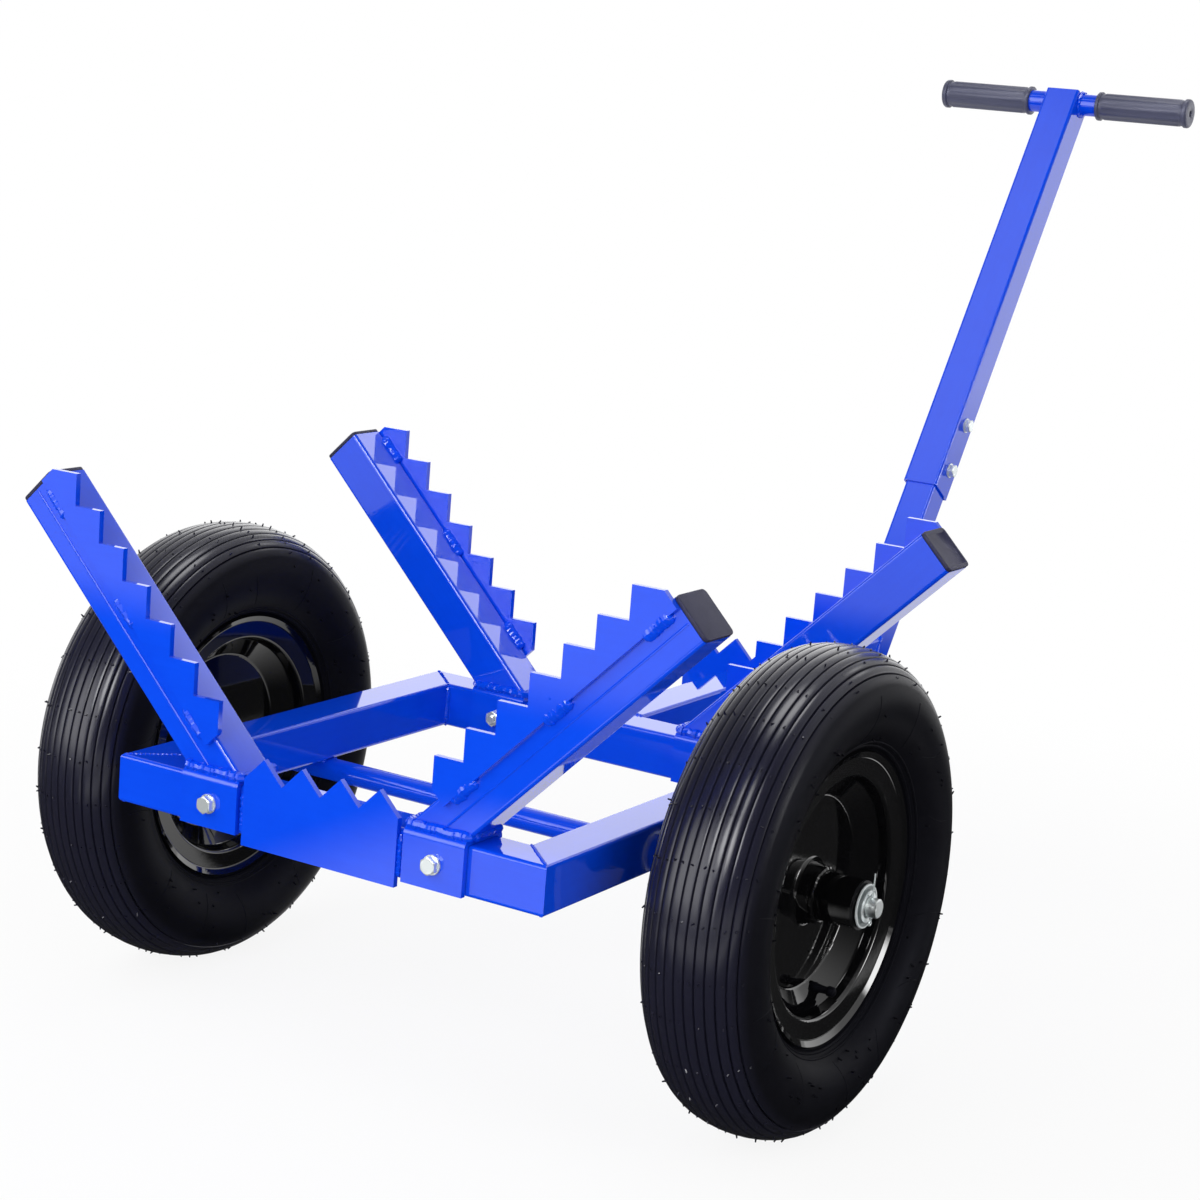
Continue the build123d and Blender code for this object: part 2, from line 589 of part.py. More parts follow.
for name, side in SIDES.items():
    hub_centre = Vector(side * WHEEL_X, AXLE_Y, AXLE_Z)
    out = Vector(side, 0, 0)
    section = Plane(origin=hub_centre, x_dir=out, z_dir=(0, -side, 0))
    valve_spot = Vector(0, cos(radians(VALVE_TURN)), sin(radians(VALVE_TURN))) * VALVE_R
    valve_base = hub_centre + valve_spot + out * (2 * RIM_SHEET)

    with BuildPart() as tyre:
        with BuildSketch(section):
            add(tyre_shape.sketch)
            offset(amount=-TYRE_CASING, kind=Kind.INTERSECTION, mode=Mode.SUBTRACT)
            with Locations((0, BEAD_R)):
                Rectangle(2 * (BEAD_X - BEAD_WIDTH), 3 * TYRE_CASING, mode=Mode.SUBTRACT)
            for groove in range(GROOVES):
                x, r, slope = tread_place((groove + 0.5 - GROOVES / 2) * GROOVE_PITCH)
                cut = ((-GROOVE_WIDTH / 2, FIT), (0, -GROOVE_DEPTH), (GROOVE_WIDTH / 2, FIT))
                with Locations((x, r)):
                    Polygon(*cut, rotation=slope, align=None, mode=Mode.SUBTRACT)
        revolve(axis=AXLE_LINE)
    write(f"{name}_tyre", tyre.part)

    with BuildPart() as inner_tube:
        with BuildSketch(section):
            with Locations((0, INNER_TUBE_START + INNER_TUBE_HIGH)):
                Ellipse(INNER_TUBE_WIDE, INNER_TUBE_HIGH)
                Ellipse(
                    INNER_TUBE_WIDE - INNER_TUBE_WALL,
                    INNER_TUBE_HIGH - INNER_TUBE_WALL,
                    mode=Mode.SUBTRACT,
                )
        revolve(axis=AXLE_LINE)
    write(f"{name}_inner_tube", inner_tube.part)

    for half, hand in (("outer", 1), ("inner", -1)):
        with BuildPart() as rim:
            with BuildSketch(section):
                with BuildLine():
                    FilletPolyline(*((hand * x, r) for x, r in rim_points), radius=RIM_BEND)
                    offset(amount=RIM_SHEET, side=Side.LEFT if hand > 0 else Side.RIGHT)
                make_face()
            revolve(axis=AXLE_LINE)
            if hand > 0:
                with Locations(Plane(origin=valve_base, z_dir=out)):
                    Hole(VALVE_DIAMETER / 2 + FIT / 2, depth=RIM_WIDTH / 2)
        write(f"{name}_{half}_rim", rim.part)

    with BuildPart() as hub:
        with BuildSketch(Plane(origin=hub_centre - out * (HUB_LENGTH / 2), z_dir=out)):
            Circle(HUB_DIAMETER / 2)
            Circle(HUB_DIAMETER / 2 - HUB_WALL, mode=Mode.SUBTRACT)
        extrude(amount=HUB_LENGTH)
    write(f"{name}_hub", hub.part)

    with BuildPart() as bearings:
        with BuildSketch(section):
            for hand in (1, -1):
                bore = AXLE_DIAMETER / 2 + RUNNING_FIT
                outer = HUB_DIAMETER / 2 - HUB_WALL
                with BuildLine():
                    Polyline(
                        (hand * (HUB_LENGTH / 2 - BEARING_DEPTH), bore),
                        (hand * (HUB_LENGTH / 2 - BEARING_DEPTH), outer),
                        (hand * HUB_LENGTH / 2, outer),
                        (hand * HUB_LENGTH / 2, HUB_DIAMETER / 2),
                        (hand * BEARING_FACE, HUB_DIAMETER / 2),
                        (hand * BEARING_FACE, outer),
                        (hand * (BEARING_FACE - BEARING_GROOVE), outer),
                        (hand * (BEARING_FACE - BEARING_GROOVE), outer - HUB_WALL),
                        (hand * BEARING_FACE, outer - HUB_WALL),
                        (hand * BEARING_FACE, bore),
                        close=True,
                    )
                make_face()
        revolve(axis=AXLE_LINE)
    write(f"{name}_bearings", bearings.part)

    with BuildPart() as valve:
        stem = Plane(origin=valve_base, z_dir=out)
        with BuildSketch(stem):
            Circle(VALVE_DIAMETER / 2)
        extrude(amount=VALVE_LENGTH)
        with BuildSketch(stem.offset(VALVE_LENGTH)):
            Circle(VALVE_TIP_DIAMETER / 2)
        extrude(amount=VALVE_TIP)
    write(f"{name}_valve", valve.part)
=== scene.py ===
import random
from math import acos, atan2, cos, pi, radians, sin, tau

import bmesh
import bpy
from mathutils import Matrix, Vector


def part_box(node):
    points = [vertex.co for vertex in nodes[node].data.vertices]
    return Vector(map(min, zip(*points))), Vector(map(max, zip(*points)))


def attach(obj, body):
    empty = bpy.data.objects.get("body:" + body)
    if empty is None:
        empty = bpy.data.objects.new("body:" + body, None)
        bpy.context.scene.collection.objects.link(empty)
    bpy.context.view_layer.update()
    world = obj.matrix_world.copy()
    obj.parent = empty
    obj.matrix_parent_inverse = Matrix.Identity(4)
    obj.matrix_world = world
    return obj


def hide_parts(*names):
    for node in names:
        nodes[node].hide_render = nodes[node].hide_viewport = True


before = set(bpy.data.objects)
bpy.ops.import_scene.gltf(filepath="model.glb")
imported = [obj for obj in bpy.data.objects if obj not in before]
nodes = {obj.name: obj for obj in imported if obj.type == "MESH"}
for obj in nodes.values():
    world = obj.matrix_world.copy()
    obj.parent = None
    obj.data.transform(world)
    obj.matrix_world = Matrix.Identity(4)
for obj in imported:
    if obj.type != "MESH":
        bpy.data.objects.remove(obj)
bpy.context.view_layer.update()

# Frame: four lengths of 40 mm square steel tube, mitred, MIG welded into a rectangle
# and powder coated in a glossy blue. The mitre seams are welded on top and in the inner
# corners, and the coat shows faint draw marks along the tubes and a fine orange peel.
BLUE = (0.0025, 0.073, 0.80, 1)
DEEP_BLUE = (0.0012, 0.050, 0.67, 1)
ORANGE_PEEL = 420.0
DRAW_MARKS = (12.0, 260.0, 260.0)
SEAM_WIDTH = 0.0034
SEAM_HEIGHT = 0.0010
INNER_BEAD_WIDTH = 0.0055
INNER_BEAD_HEIGHT = 0.003
BEAD_SWELL = 0.12
BEAD_DRIFT = 0.07


def add_node(tree, kind, inputs=None, **settings):
    """Adds a shader node with its settings; each input takes a value or another node's output."""
    made = tree.nodes.new(kind)
    for name, value in settings.items():
        setattr(made, name, value)
    for socket, value in (inputs or {}).items():
        if isinstance(value, bpy.types.NodeSocket):
            tree.links.new(value, made.inputs[socket])
        else:
            made.inputs[socket].default_value = value
    return made


def new_group(name, inputs, outputs):
    """Starts a shader node group and returns it with its input and output nodes."""
    group = bpy.data.node_groups.new(name, "ShaderNodeTree")
    for direction, sockets in (("INPUT", inputs), ("OUTPUT", outputs)):
        for socket, (kind, value) in sockets.items():
            made = group.interface.new_socket(socket, in_out=direction, socket_type=kind)
            if value is not None:
                made.default_value = value
    return group, group.nodes.new("NodeGroupInput"), group.nodes.new("NodeGroupOutput")


def uneven_finish_group():
    """Patches, fine grain and streaks that vary a finish's colour, roughness and relief."""
    number = "NodeSocketFloat"
    group, given, result = new_group(
        "uneven_finish",
        {
            "Streak Vector": ("NodeSocketVector", None),
            "Colour": ("NodeSocketColor", (0.5, 0.5, 0.5, 1)),
            "Second Colour": ("NodeSocketColor", (0.4, 0.4, 0.4, 1)),
            "Patch Size": (number, 40.0),
            "Grain Size": (number, 900.0),
            "Streaks": (number, 0.2),
            "Roughness": (number, 0.3),
            "Roughness Spread": (number, 0.1),
            "Relief": (number, 0.1),
        },
        {"Colour": ("NodeSocketColor", None), "Roughness": (number, None), "Normal": ("NodeSocketVector", None)},
    )
    where = add_node(group, "ShaderNodeTexCoord").outputs["Object"]
    noise = "ShaderNodeTexNoise"
    patches = add_node(
        group, noise, {"Vector": where, "Scale": given.outputs["Patch Size"], "Detail": 4.0, "Roughness": 0.6}
    ).outputs["Fac"]
    grain = add_node(
        group, noise, {"Vector": where, "Scale": given.outputs["Grain Size"], "Detail": 2.0, "Roughness": 0.5}
    ).outputs["Fac"]
    streaks = add_node(
        group, noise, {"Vector": given.outputs["Streak Vector"], "Scale": 1.0, "Detail": 3.0, "Roughness": 0.55}
    ).outputs["Fac"]
    shade = add_node(
        group, "ShaderNodeMix", {0: given.outputs["Streaks"], 2: patches, 3: streaks}, data_type="FLOAT"
    ).outputs[0]
    colour = add_node(
        group, "ShaderNodeMix", {0: shade, 6: given.outputs["Colour"], 7: given.outputs["Second Colour"]},
        data_type="RGBA",
    ).outputs[2]
    spread = add_node(group, "ShaderNodeMath", {0: shade, 1: 0.5}, operation="SUBTRACT").outputs[0]
    rough = add_node(
        group, "ShaderNodeMath",
        {0: spread, 1: given.outputs["Roughness Spread"], 2: given.outputs["Roughness"]},
        operation="MULTIPLY_ADD",
    ).outputs[0]
    height = add_node(
        group, "ShaderNodeMath", {0: streaks, 1: given.outputs["Streaks"], 2: grain}, operation="MULTIPLY_ADD"
    ).outputs[0]
    normal = add_node(
        group, "ShaderNodeBump", {"Strength": given.outputs["Relief"], "Distance": 0.0004, "Height": height}
    ).outputs[0]
    for socket, output in (("Colour", colour), ("Roughness", rough), ("Normal", normal)):
        group.links.new(output, result.inputs[socket])
    return group


uneven_finish = uneven_finish_group()


def finish_material(name, values, streak_turn=(0, 0, 0), streak_scale=(1, 1, 1), **sockets):
    """Material whose colour, roughness and normal come from the uneven finish with these values."""
    material = bpy.data.materials.new(name)
    material.use_nodes = True
    tree = material.node_tree
    shader = tree.nodes["Principled BSDF"]
    where = add_node(tree, "ShaderNodeTexCoord").outputs["Object"]
    turned = add_node(
        tree, "ShaderNodeMapping", {"Vector": where, "Rotation": streak_turn}, vector_type="POINT"
    ).outputs[0]
    stretched = add_node(tree, "ShaderNodeMapping", {"Vector": turned, "Scale": streak_scale}).outputs[0]
    made = add_node(tree, "ShaderNodeGroup", node_tree=uneven_finish)
    tree.links.new(stretched, made.inputs["Streak Vector"])
    for socket, value in values.items():
        made.inputs[socket].default_value = value
    for ours, theirs in (("Colour", "Base Color"), ("Roughness", "Roughness"), ("Normal", "Normal")):
        tree.links.new(made.outputs[ours], shader.inputs[theirs])
    for socket, value in sockets.items():
        shader.inputs[socket.replace("_", " ")].default_value = value
    return material


def blue_coat(name, turn, marks=DRAW_MARKS):
    """Blue powder coat; turn brings a tube's length onto an axis along which the marks are stretched."""
    values = {
        "Colour": BLUE, "Second Colour": DEEP_BLUE, "Patch Size": 22.0, "Grain Size": ORANGE_PEEL,
        "Streaks": 0.35, "Roughness": 0.34, "Roughness Spread": 0.12, "Relief": 0.12,
    }
    return finish_material(
        name, values, turn, marks,
        Coat_Weight=1.0, Coat_Roughness=0.03, Coat_IOR=1.55, Specular_IOR_Level=0.0,
    )


def paint(material, *names):
    """Gives a material to the CAD nodes with these names."""
    for name in names:
        nodes[name].data.materials.clear()
        nodes[name].data.materials.append(material)


def finish_piece(name, bm, material, body, stands_for=(), sharp=radians(38)):
    """Makes the finished piece from a bmesh: normals outwards, smooth but for its sharp edges."""
    bmesh.ops.recalc_face_normals(bm, faces=bm.faces)
    for face in bm.faces:
        face.smooth = True
    for edge in bm.edges:
        edge.smooth = len(edge.link_faces) < 2 or edge.calc_face_angle(0) < sharp
    mesh = bpy.data.meshes.new(name)
    bm.to_mesh(mesh)
    bm.free()
    mesh.materials.append(material)
    piece = bpy.data.objects.new(name, mesh)
    bpy.context.scene.collection.objects.link(piece)
    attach(piece, body)
    if stands_for:
        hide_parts(*stands_for)
    return piece


def placed(side, out, forward, centre):
    """Matrix that puts a unit circle across forward, with its half widths side and out."""
    turn = Matrix((side, out, forward)).transposed().to_4x4()
    turn.translation = centre
    return turn


def skin(bm, rings, segments=8):
    """Closed skin through rings, each a matrix that places a unit circle."""
    loop = bmesh.ops.create_circle(bm, segments=segments, radius=1, cap_ends=True, matrix=rings[0])["verts"]
    edges = list({edge for vert in loop for edge in vert.link_edges})
    for before, after in zip(rings, rings[1:]):
        grown = bmesh.ops.extrude_edge_only(bm, edges=edges)["geom"]
        loop = {item for item in grown if isinstance(item, bmesh.types.BMVert)}
        edges = [
            item for item in grown if isinstance(item, bmesh.types.BMEdge) and loop.issuperset(item.verts)
        ]
        bmesh.ops.transform(bm, matrix=after @ before.inverted(), verts=list(loop))
    bmesh.ops.edgeloop_fill(bm, edges=edges)


def weld_bead(bm, corners, up, width, height, seed, pitch=0.0038, dip=0.9):
    """Rippled weld along the runs between corners. up gives the way it stands at a run's middle."""
    chance = random.Random(seed)
    rings = []
    for start, end in zip(corners, corners[1:]):
        run = end - start
        forward = run.normalized()
        side = forward.cross(up((start + end) / 2)).normalized()
        out = side.cross(forward)
        count = max(1, round(run.length / pitch))
        for ripple in range(count):
            swell = 1 + chance.uniform(-BEAD_SWELL, BEAD_SWELL)
            drift = side * width * chance.uniform(-BEAD_DRIFT, BEAD_DRIFT)
            for share, size in ((0.0, dip), (0.3, (dip + 1) / 2), (0.75, 1.03)):
                centre = start + run * ((ripple + share) / count) + drift
                size *= swell
                rings.append(placed(side * width / 2 * size, out * height * size, forward * width, centre))
    for end, inward in ((0, 1), (-1, -2)):
        rings[end] = rings[end] @ Matrix.Scale(0.5, 4)
        rings[inward] = rings[inward] @ Matrix.Scale(0.85, 4)
    skin(bm, rings)


near_low, near_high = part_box("near_crossmember")
far_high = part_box("far_crossmember")[1]
frame_middle = (near_low.y + far_high.y) / 2
deck = near_high.z
tube = near_high.z - near_low.z
coat_along_x = blue_coat("blue_coat_crosswise", (0, 0, 0))
coat_along_y = blue_coat("blue_coat_lengthwise", (0, 0, radians(-90)))
paint(coat_along_x, "near_crossmember", "far_crossmember")
paint(coat_along_y, "left_rail", "right_rail")

bm = bmesh.new()
for side in (1, -1):
    for face, hand in ((near_low.y, 1), (far_high.y, -1)):
        outer = Vector((side * near_high.x, face, deck))
        inward = Vector((-side, hand, 0))
        weld_bead(
            bm, (outer + inward * 0.002, outer + inward * tube), lambda middle: Vector((0, 0, 1)),
            SEAM_WIDTH, SEAM_HEIGHT, 11 + side + 2 * hand, pitch=0.0036, dip=0.35,
        )
        inner = outer + inward * tube
        weld_bead(
            bm, (inner - Vector((0, 0, 0.002)), inner - Vector((0, 0, tube - 0.003))),
            lambda middle, way=inward: way, INNER_BEAD_WIDTH, INNER_BEAD_HEIGHT, 21 + side + 2 * hand,
        )
        foot = Vector((outer.x, outer.y, near_low.z))
        weld_bead(
            bm, (foot + inward * 0.002, foot + inward * tube), lambda middle: Vector((0, 0, -1)),
            SEAM_WIDTH, SEAM_HEIGHT, 31 + side + 2 * hand, pitch=0.0036, dip=0.4,
        )
finish_piece("frame_corner_welds", bm, coat_along_x, "frame")

# Axle: 20 mm round bar under the rails, held by a weld on each side of it. It is coated
# with the frame, and its ends, which the wheels run on, are left bare and zinc plated.
# A thin collar is welded on at each side as the wheel's inner stop.
ZINC = (0.82, 0.86, 0.86, 1)
DULL_ZINC = (0.64, 0.70, 0.71, 1)
COATED_HALF = 0.2505
END_RADIUS = 0.0080
END_CHAMFER = 0.0010
COLLAR = 0.004
AXLE_BEAD_WIDTH = 0.005
AXLE_BEAD_HEIGHT = 0.003
BEAD_TILT = 0.012

zinc_values = {
    "Colour": ZINC, "Second Colour": DULL_ZINC, "Patch Size": 160.0, "Grain Size": 2200.0,
    "Streaks": 0.1, "Roughness": 0.22, "Roughness Spread": 0.14, "Relief": 0.04,
}
zinc = finish_material("zinc_plate", zinc_values, Metallic=0.6)

axle_finish = blue_coat("coated_axle", (0, 0, 0))
tree = axle_finish.node_tree
shader = tree.nodes["Principled BSDF"]
across = add_node(tree, "ShaderNodeTexCoord").outputs["Object"]
along = add_node(tree, "ShaderNodeSeparateXYZ", {0: across}).outputs["X"]
reach = add_node(tree, "ShaderNodeMath", {0: along}, operation="ABSOLUTE").outputs[0]
bare = add_node(tree, "ShaderNodeMath", {0: reach, 1: COATED_HALF}, operation="GREATER_THAN").outputs[0]
coated = add_node(tree, "ShaderNodeMath", {0: 1.0, 1: bare}, operation="SUBTRACT").outputs[0]
coat_colour = shader.inputs["Base Color"].links[0].from_socket
steel = add_node(tree, "ShaderNodeMix", {0: bare, 6: coat_colour, 7: ZINC}, data_type="RGBA").outputs[2]
tree.links.new(steel, shader.inputs["Base Color"])
tree.links.new(bare, shader.inputs["Metallic"])
tree.links.new(coated, shader.inputs["Coat Weight"])
paint(coat_along_x, "axle_collars")

axle_low, axle_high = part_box("axle")
axle_y = (axle_low.y + axle_high.y) / 2
axle_z = (axle_low.z + axle_high.z) / 2
axle_radius = (axle_high.z - axle_low.z) / 2
rail_low, rail_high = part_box("right_rail")
collar_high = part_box("axle_collars")[1]


def lathe(bm, stand, stations, segments=36):
    """Closed skin round stand's Z. A station is a height and radius, or gives them for a turn."""
    loop = bmesh.ops.create_circle(bm, segments=segments, radius=1)["verts"]
    edges = ends = list({edge for vert in loop for edge in vert.link_edges})
    made = []
    for place, station in enumerate(stations):
        if place:
            grown = bmesh.ops.extrude_edge_only(bm, edges=edges)["geom"]
            loop = {item for item in grown if isinstance(item, bmesh.types.BMVert)}
            edges = [
                item for item in grown if isinstance(item, bmesh.types.BMEdge) and loop.issuperset(item.verts)
            ]
        for vert in loop:
            turn = atan2(vert.co.y, vert.co.x)
            height, radius = station(turn) if callable(station) else station
            vert.co = Vector((radius * cos(turn), radius * sin(turn), height))
        made += loop
    bmesh.ops.holes_fill(bm, edges=ends + edges)
    bmesh.ops.transform(bm, matrix=stand, verts=made)


def round_bead(bm, centre, radius, tilt, width, height, seed, steps=24, dip=0.9):
    """Weld round a tube along X, at this centre and radius. tilt is how far it leans along X."""
    turns = [tau * step / steps for step in range(steps + 1)]
    weld_bead(
        bm, [centre + Vector((0, radius * cos(turn), radius * sin(turn))) for turn in turns],
        lambda middle: middle - centre + Vector((tilt, 0, 0)), width, height, seed, dip=dip,
    )


washer_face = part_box("outer_washers")[1].x
bm = bmesh.new()
along_axle = placed(Vector((0, 1, 0)), Vector((0, 0, 1)), Vector((1, 0, 0)), Vector((0, axle_y, axle_z)))
lathe(bm, along_axle, (
    (axle_low.x, END_RADIUS - END_CHAMFER), (axle_low.x + END_CHAMFER, END_RADIUS), (-washer_face, END_RADIUS),
    (-washer_face, axle_radius), (washer_face, axle_radius), (washer_face, END_RADIUS),
    (axle_high.x - END_CHAMFER, END_RADIUS), (axle_high.x, END_RADIUS - END_CHAMFER),
), 48)
finish_piece("round_axle", bm, axle_finish, "frame", ["axle"])

bm = bmesh.new()
for side in (1, -1):
    for hand in (1, -1):
        under = Vector((0, axle_y + hand * 0.0075, deck - tube - 0.0015))
        ends = [under + Vector((side * x, 0, 0)) for x in (rail_low.x + 0.003, rail_high.x - 0.003)]
        weld_bead(
            bm, ends, lambda middle, way=hand: Vector((0, way, -0.7)),
            AXLE_BEAD_WIDTH, AXLE_BEAD_HEIGHT, 41 + side + 2 * hand,
        )
    round_bead(
        bm, Vector((side * (collar_high.x - COLLAR), axle_y, axle_z)), axle_radius, -side * BEAD_TILT,
        AXLE_BEAD_WIDTH, AXLE_BEAD_HEIGHT, 51 + side,
    )
finish_piece("axle_welds", bm, coat_along_x, "frame")

# Saddles: 5 mm strap bent over each crossmember as wide as the arm's foot, and drilled
# for one cross bolt. Each arm's foot is welded all round to its saddle's top.
FOOT_BEAD_WIDTH = 0.0080
FOOT_BEAD_HEIGHT = 0.0040
corners = [f"{end}_{hand}" for end in ("near", "far") for hand in ("right", "left")]

coat_on_plate = blue_coat("blue_coat_plate", (0, 0, 0))
paint(coat_on_plate, *(f"{corner}_saddle" for corner in corners))

bm = bmesh.new()
for number, corner in enumerate(corners):
    low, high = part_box(f"{corner}_saddle")
    middle_y = (low.y + high.y) / 2
    near_y, far_y = middle_y - tube / 2 - 0.001, middle_y + tube / 2 + 0.001
    centre = Vector(((low.x + high.x) / 2, middle_y, high.z))
    foot = [
        Vector((x, y, high.z + 0.0012))
        for x, y in ((low.x, near_y), (high.x, near_y), (high.x, far_y), (low.x, far_y), (low.x, near_y))
    ]
    weld_bead(
        bm, foot, lambda middle, hub=centre: (middle - hub).normalized() + Vector((0, 0, 0.9)),
        FOOT_BEAD_WIDTH, FOOT_BEAD_HEIGHT, 61 + number, pitch=0.0035, dip=0.93,
    )
finish_piece("arm_foot_welds", bm, coat_on_plate, "frame")

# Arms: 40 mm square tube that leans out at 45 degrees, with the tube's own seam as a fine
# line along its face. A 5 mm sawtooth plate is stitch welded to each arm's outer face,
# and a black plastic plug with a raised border closes its end.
LEAN = radians(45)
ARM_LENGTH = 0.302
TOOTH_PLATE_LAP = 0.009
STITCHES = (0.062, 0.170, 0.280)
STITCH_LENGTH = 0.030
STITCH_WIDTH = 0.0105
STITCH_HEIGHT = 0.0044
SEAM_PLACE = 0.0215
TUBE_SEAM_WIDTH = 0.0022
TUBE_SEAM_HEIGHT = 0.0008
CAP = 0.0035
CAP_BORDER = 0.0032
CAP_SINK = 0.0010
CAP_CORNER = 0.0042
CAP_EDGE = 0.0008
PLASTIC = (0.026, 0.026, 0.062, 1)
DARK_PLASTIC = (0.018, 0.018, 0.044, 1)

coat_lean_right = blue_coat("blue_coat_leaning_right", (0, LEAN, 0))
coat_lean_left = blue_coat("blue_coat_leaning_left", (0, -LEAN, 0))
plastic_values = {
    "Colour": PLASTIC, "Second Colour": DARK_PLASTIC, "Patch Size": 90.0, "Grain Size": 3000.0,
    "Streaks": 0.0, "Roughness": 0.46, "Roughness Spread": 0.12, "Relief": 0.3,
}
cap_plastic = finish_material("cap_plastic", plastic_values, Specular_IOR_Level=0.25)
for corner in corners:
    coat = coat_lean_right if corner.endswith("right") else coat_lean_left
    paint(coat, f"{corner}_arm")
    paint(coat_on_plate, f"{corner}_tooth_plate")

stitches = bmesh.new()
seams = bmesh.new()
caps = bmesh.new()
for number, corner in enumerate(corners):
    side = 1 if corner.endswith("right") else -1
    hand = -1 if corner.startswith("near") else 1
    low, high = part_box(f"{corner}_saddle")
    face_y = (low.y + high.y) / 2 + hand * tube / 2
    base = Vector((low.x if side > 0 else high.x, face_y, high.z))
    arm_axis = Vector((side * cos(LEAN), 0, sin(LEAN)))
    arm_out = Vector((side * sin(LEAN), 0, -cos(LEAN)))
    outwards = Vector((0, hand, 0))
    for stitch, place in enumerate(STITCHES):
        for seed, edge, way in (
            (71, arm_out * (TOOTH_PLATE_LAP + 0.0008) + outwards * 0.0012, arm_out + outwards * 0.9),
            (271, arm_out * -0.0004 - outwards * 0.0006, -arm_out - outwards * 0.8),
        ):
            start = base + arm_axis * (place - STITCH_LENGTH / 2) + edge
            weld_bead(
                stitches, (start, start + arm_axis * STITCH_LENGTH), lambda middle, way=way: way,
                STITCH_WIDTH, STITCH_HEIGHT, seed + 4 * number + stitch, pitch=0.0040, dip=0.94,
            )
    arm_length = (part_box(f"{corner}_arm")[1].z - base.z) / sin(LEAN)
    foot = base + arm_out * SEAM_PLACE + arm_axis * (SEAM_PLACE + 0.006)
    top = base + arm_out * SEAM_PLACE + arm_axis * (arm_length - 0.002)
    seam = arm_out * TUBE_SEAM_WIDTH / 2, outwards * TUBE_SEAM_HEIGHT, arm_axis
    skin(seams, [placed(*seam, foot), placed(*seam, top)], 6)

    arm_top = base + arm_axis * (ARM_LENGTH + CAP / 2) + arm_out * (tube / 2) - outwards * (tube / 2)
    block = placed(arm_out * tube, outwards * tube, arm_axis * CAP, arm_top)
    cap = bmesh.ops.create_cube(caps, size=1, matrix=block)["verts"]
    rising = [
        edge for edge in {edge for vert in cap for edge in vert.link_edges}
        if abs((edge.verts[0].co - edge.verts[1].co).normalized().dot(arm_axis)) > 0.9
    ]
    bmesh.ops.bevel(caps, geom=rising, offset=CAP_CORNER, affect="EDGES", segments=5, profile=0.5, material=-1)
for bm, name in ((stitches, "tooth_plate_welds"), (seams, "arm_tube_seams")):
    finish_piece(name, bm, coat_on_plate, "frame")

caps.normal_update()
tops = [face for face in caps.faces if face.calc_area() > 0.8 * tube * tube and face.normal.z > 0]
bmesh.ops.inset_individual(caps, faces=tops, thickness=CAP_BORDER, depth=0)
bmesh.ops.inset_individual(caps, faces=tops, thickness=CAP_SINK, depth=-CAP_SINK)
rims = [edge for edge in caps.edges if len(edge.link_faces) == 2 and edge.calc_face_angle(0) > radians(60)]
bmesh.ops.bevel(caps, geom=rims, offset=CAP_EDGE, affect="EDGES", segments=3, profile=0.5, material=-1)
finish_piece(
    "arm_caps", caps, cap_plastic, "frame", [f"{corner}_arm_cap" for corner in corners],
    sharp=radians(50),
)

# Cradle plates: 5 mm plate with four teeth, one on the near crossmember's face and one
# notched over the drawbar. Their ends and the notch are fillet welded.
PLATE_BEAD_WIDTH = 0.0062
PLATE_BEAD_HEIGHT = 0.0038
NOTCH_BEAD_WIDTH = 0.005
NOTCH_BEAD_HEIGHT = 0.003
TOP_BEAD_WIDTH = 0.0055

paint(coat_on_plate, "near_cradle_plate", "drawbar_cradle_plate")
plate_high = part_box("near_cradle_plate")[1]
second_low, second_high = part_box("drawbar_cradle_plate")
bm = bmesh.new()
for side in (1, -1):
    end = Vector((side * (plate_high.x + 0.001), near_low.y - 0.001, 0))
    weld_bead(
        bm, (end + Vector((0, 0, deck - tube + 0.002)), end + Vector((0, 0, deck - 0.003))),
        lambda middle, way=side: Vector((way, -1, 0)), PLATE_BEAD_WIDTH, PLATE_BEAD_HEIGHT, 91 + side,
        pitch=0.0046, dip=0.8,
    )
    for hand, face in ((-1, second_low.y), (1, second_high.y)):
        foot = Vector((side * (tube / 2 + 0.0005), face, 0))
        weld_bead(
            bm, (foot + Vector((0, 0, second_low.z + 0.001)), foot + Vector((0, 0, deck - 0.003))),
            lambda middle, way=Vector((side, hand, 0)): way, NOTCH_BEAD_WIDTH, NOTCH_BEAD_HEIGHT,
            95 + side + 2 * hand,
        )
for hand, face in ((-1, second_low.y), (1, second_high.y)):
    top = Vector((0, face, deck))
    reach = Vector((tube / 2 - 0.004, 0, 0))
    weld_bead(
        bm, (top - reach, top + reach), lambda middle, way=hand: Vector((0, way, 1)),
        TOP_BEAD_WIDTH, NOTCH_BEAD_HEIGHT, 101 + hand,
    )
finish_piece("cradle_plate_welds", bm, coat_on_plate, "frame")

# Tow bar: a square drawbar welded to the far crossmember, a 35 mm tube welded to its end
# that also reaches the floor, and a 40 mm tube that slides over it and is held by bolts.
# Fillet welds run round both joints of the drawbar, and a plastic plug closes the foot.
TOW_LEAN = radians(56.8)
TOW_REACH = 0.5
SLIDE_TUBE = 0.035
BAR_BEAD_WIDTH = 0.0065
BAR_BEAD_HEIGHT = 0.0038
JOINT_BEAD_WIDTH = 0.006
JOINT_BEAD_HEIGHT = 0.0035

coat_tow = blue_coat("blue_coat_tow_bar", (-TOW_LEAN, 0, 0), (DRAW_MARKS[1], DRAW_MARKS[0], DRAW_MARKS[1]))
paint(coat_along_y, "drawbar")
paint(coat_tow, "lower_tow_tube", "upper_tow_tube")
paint(cap_plastic, "foot_cap")

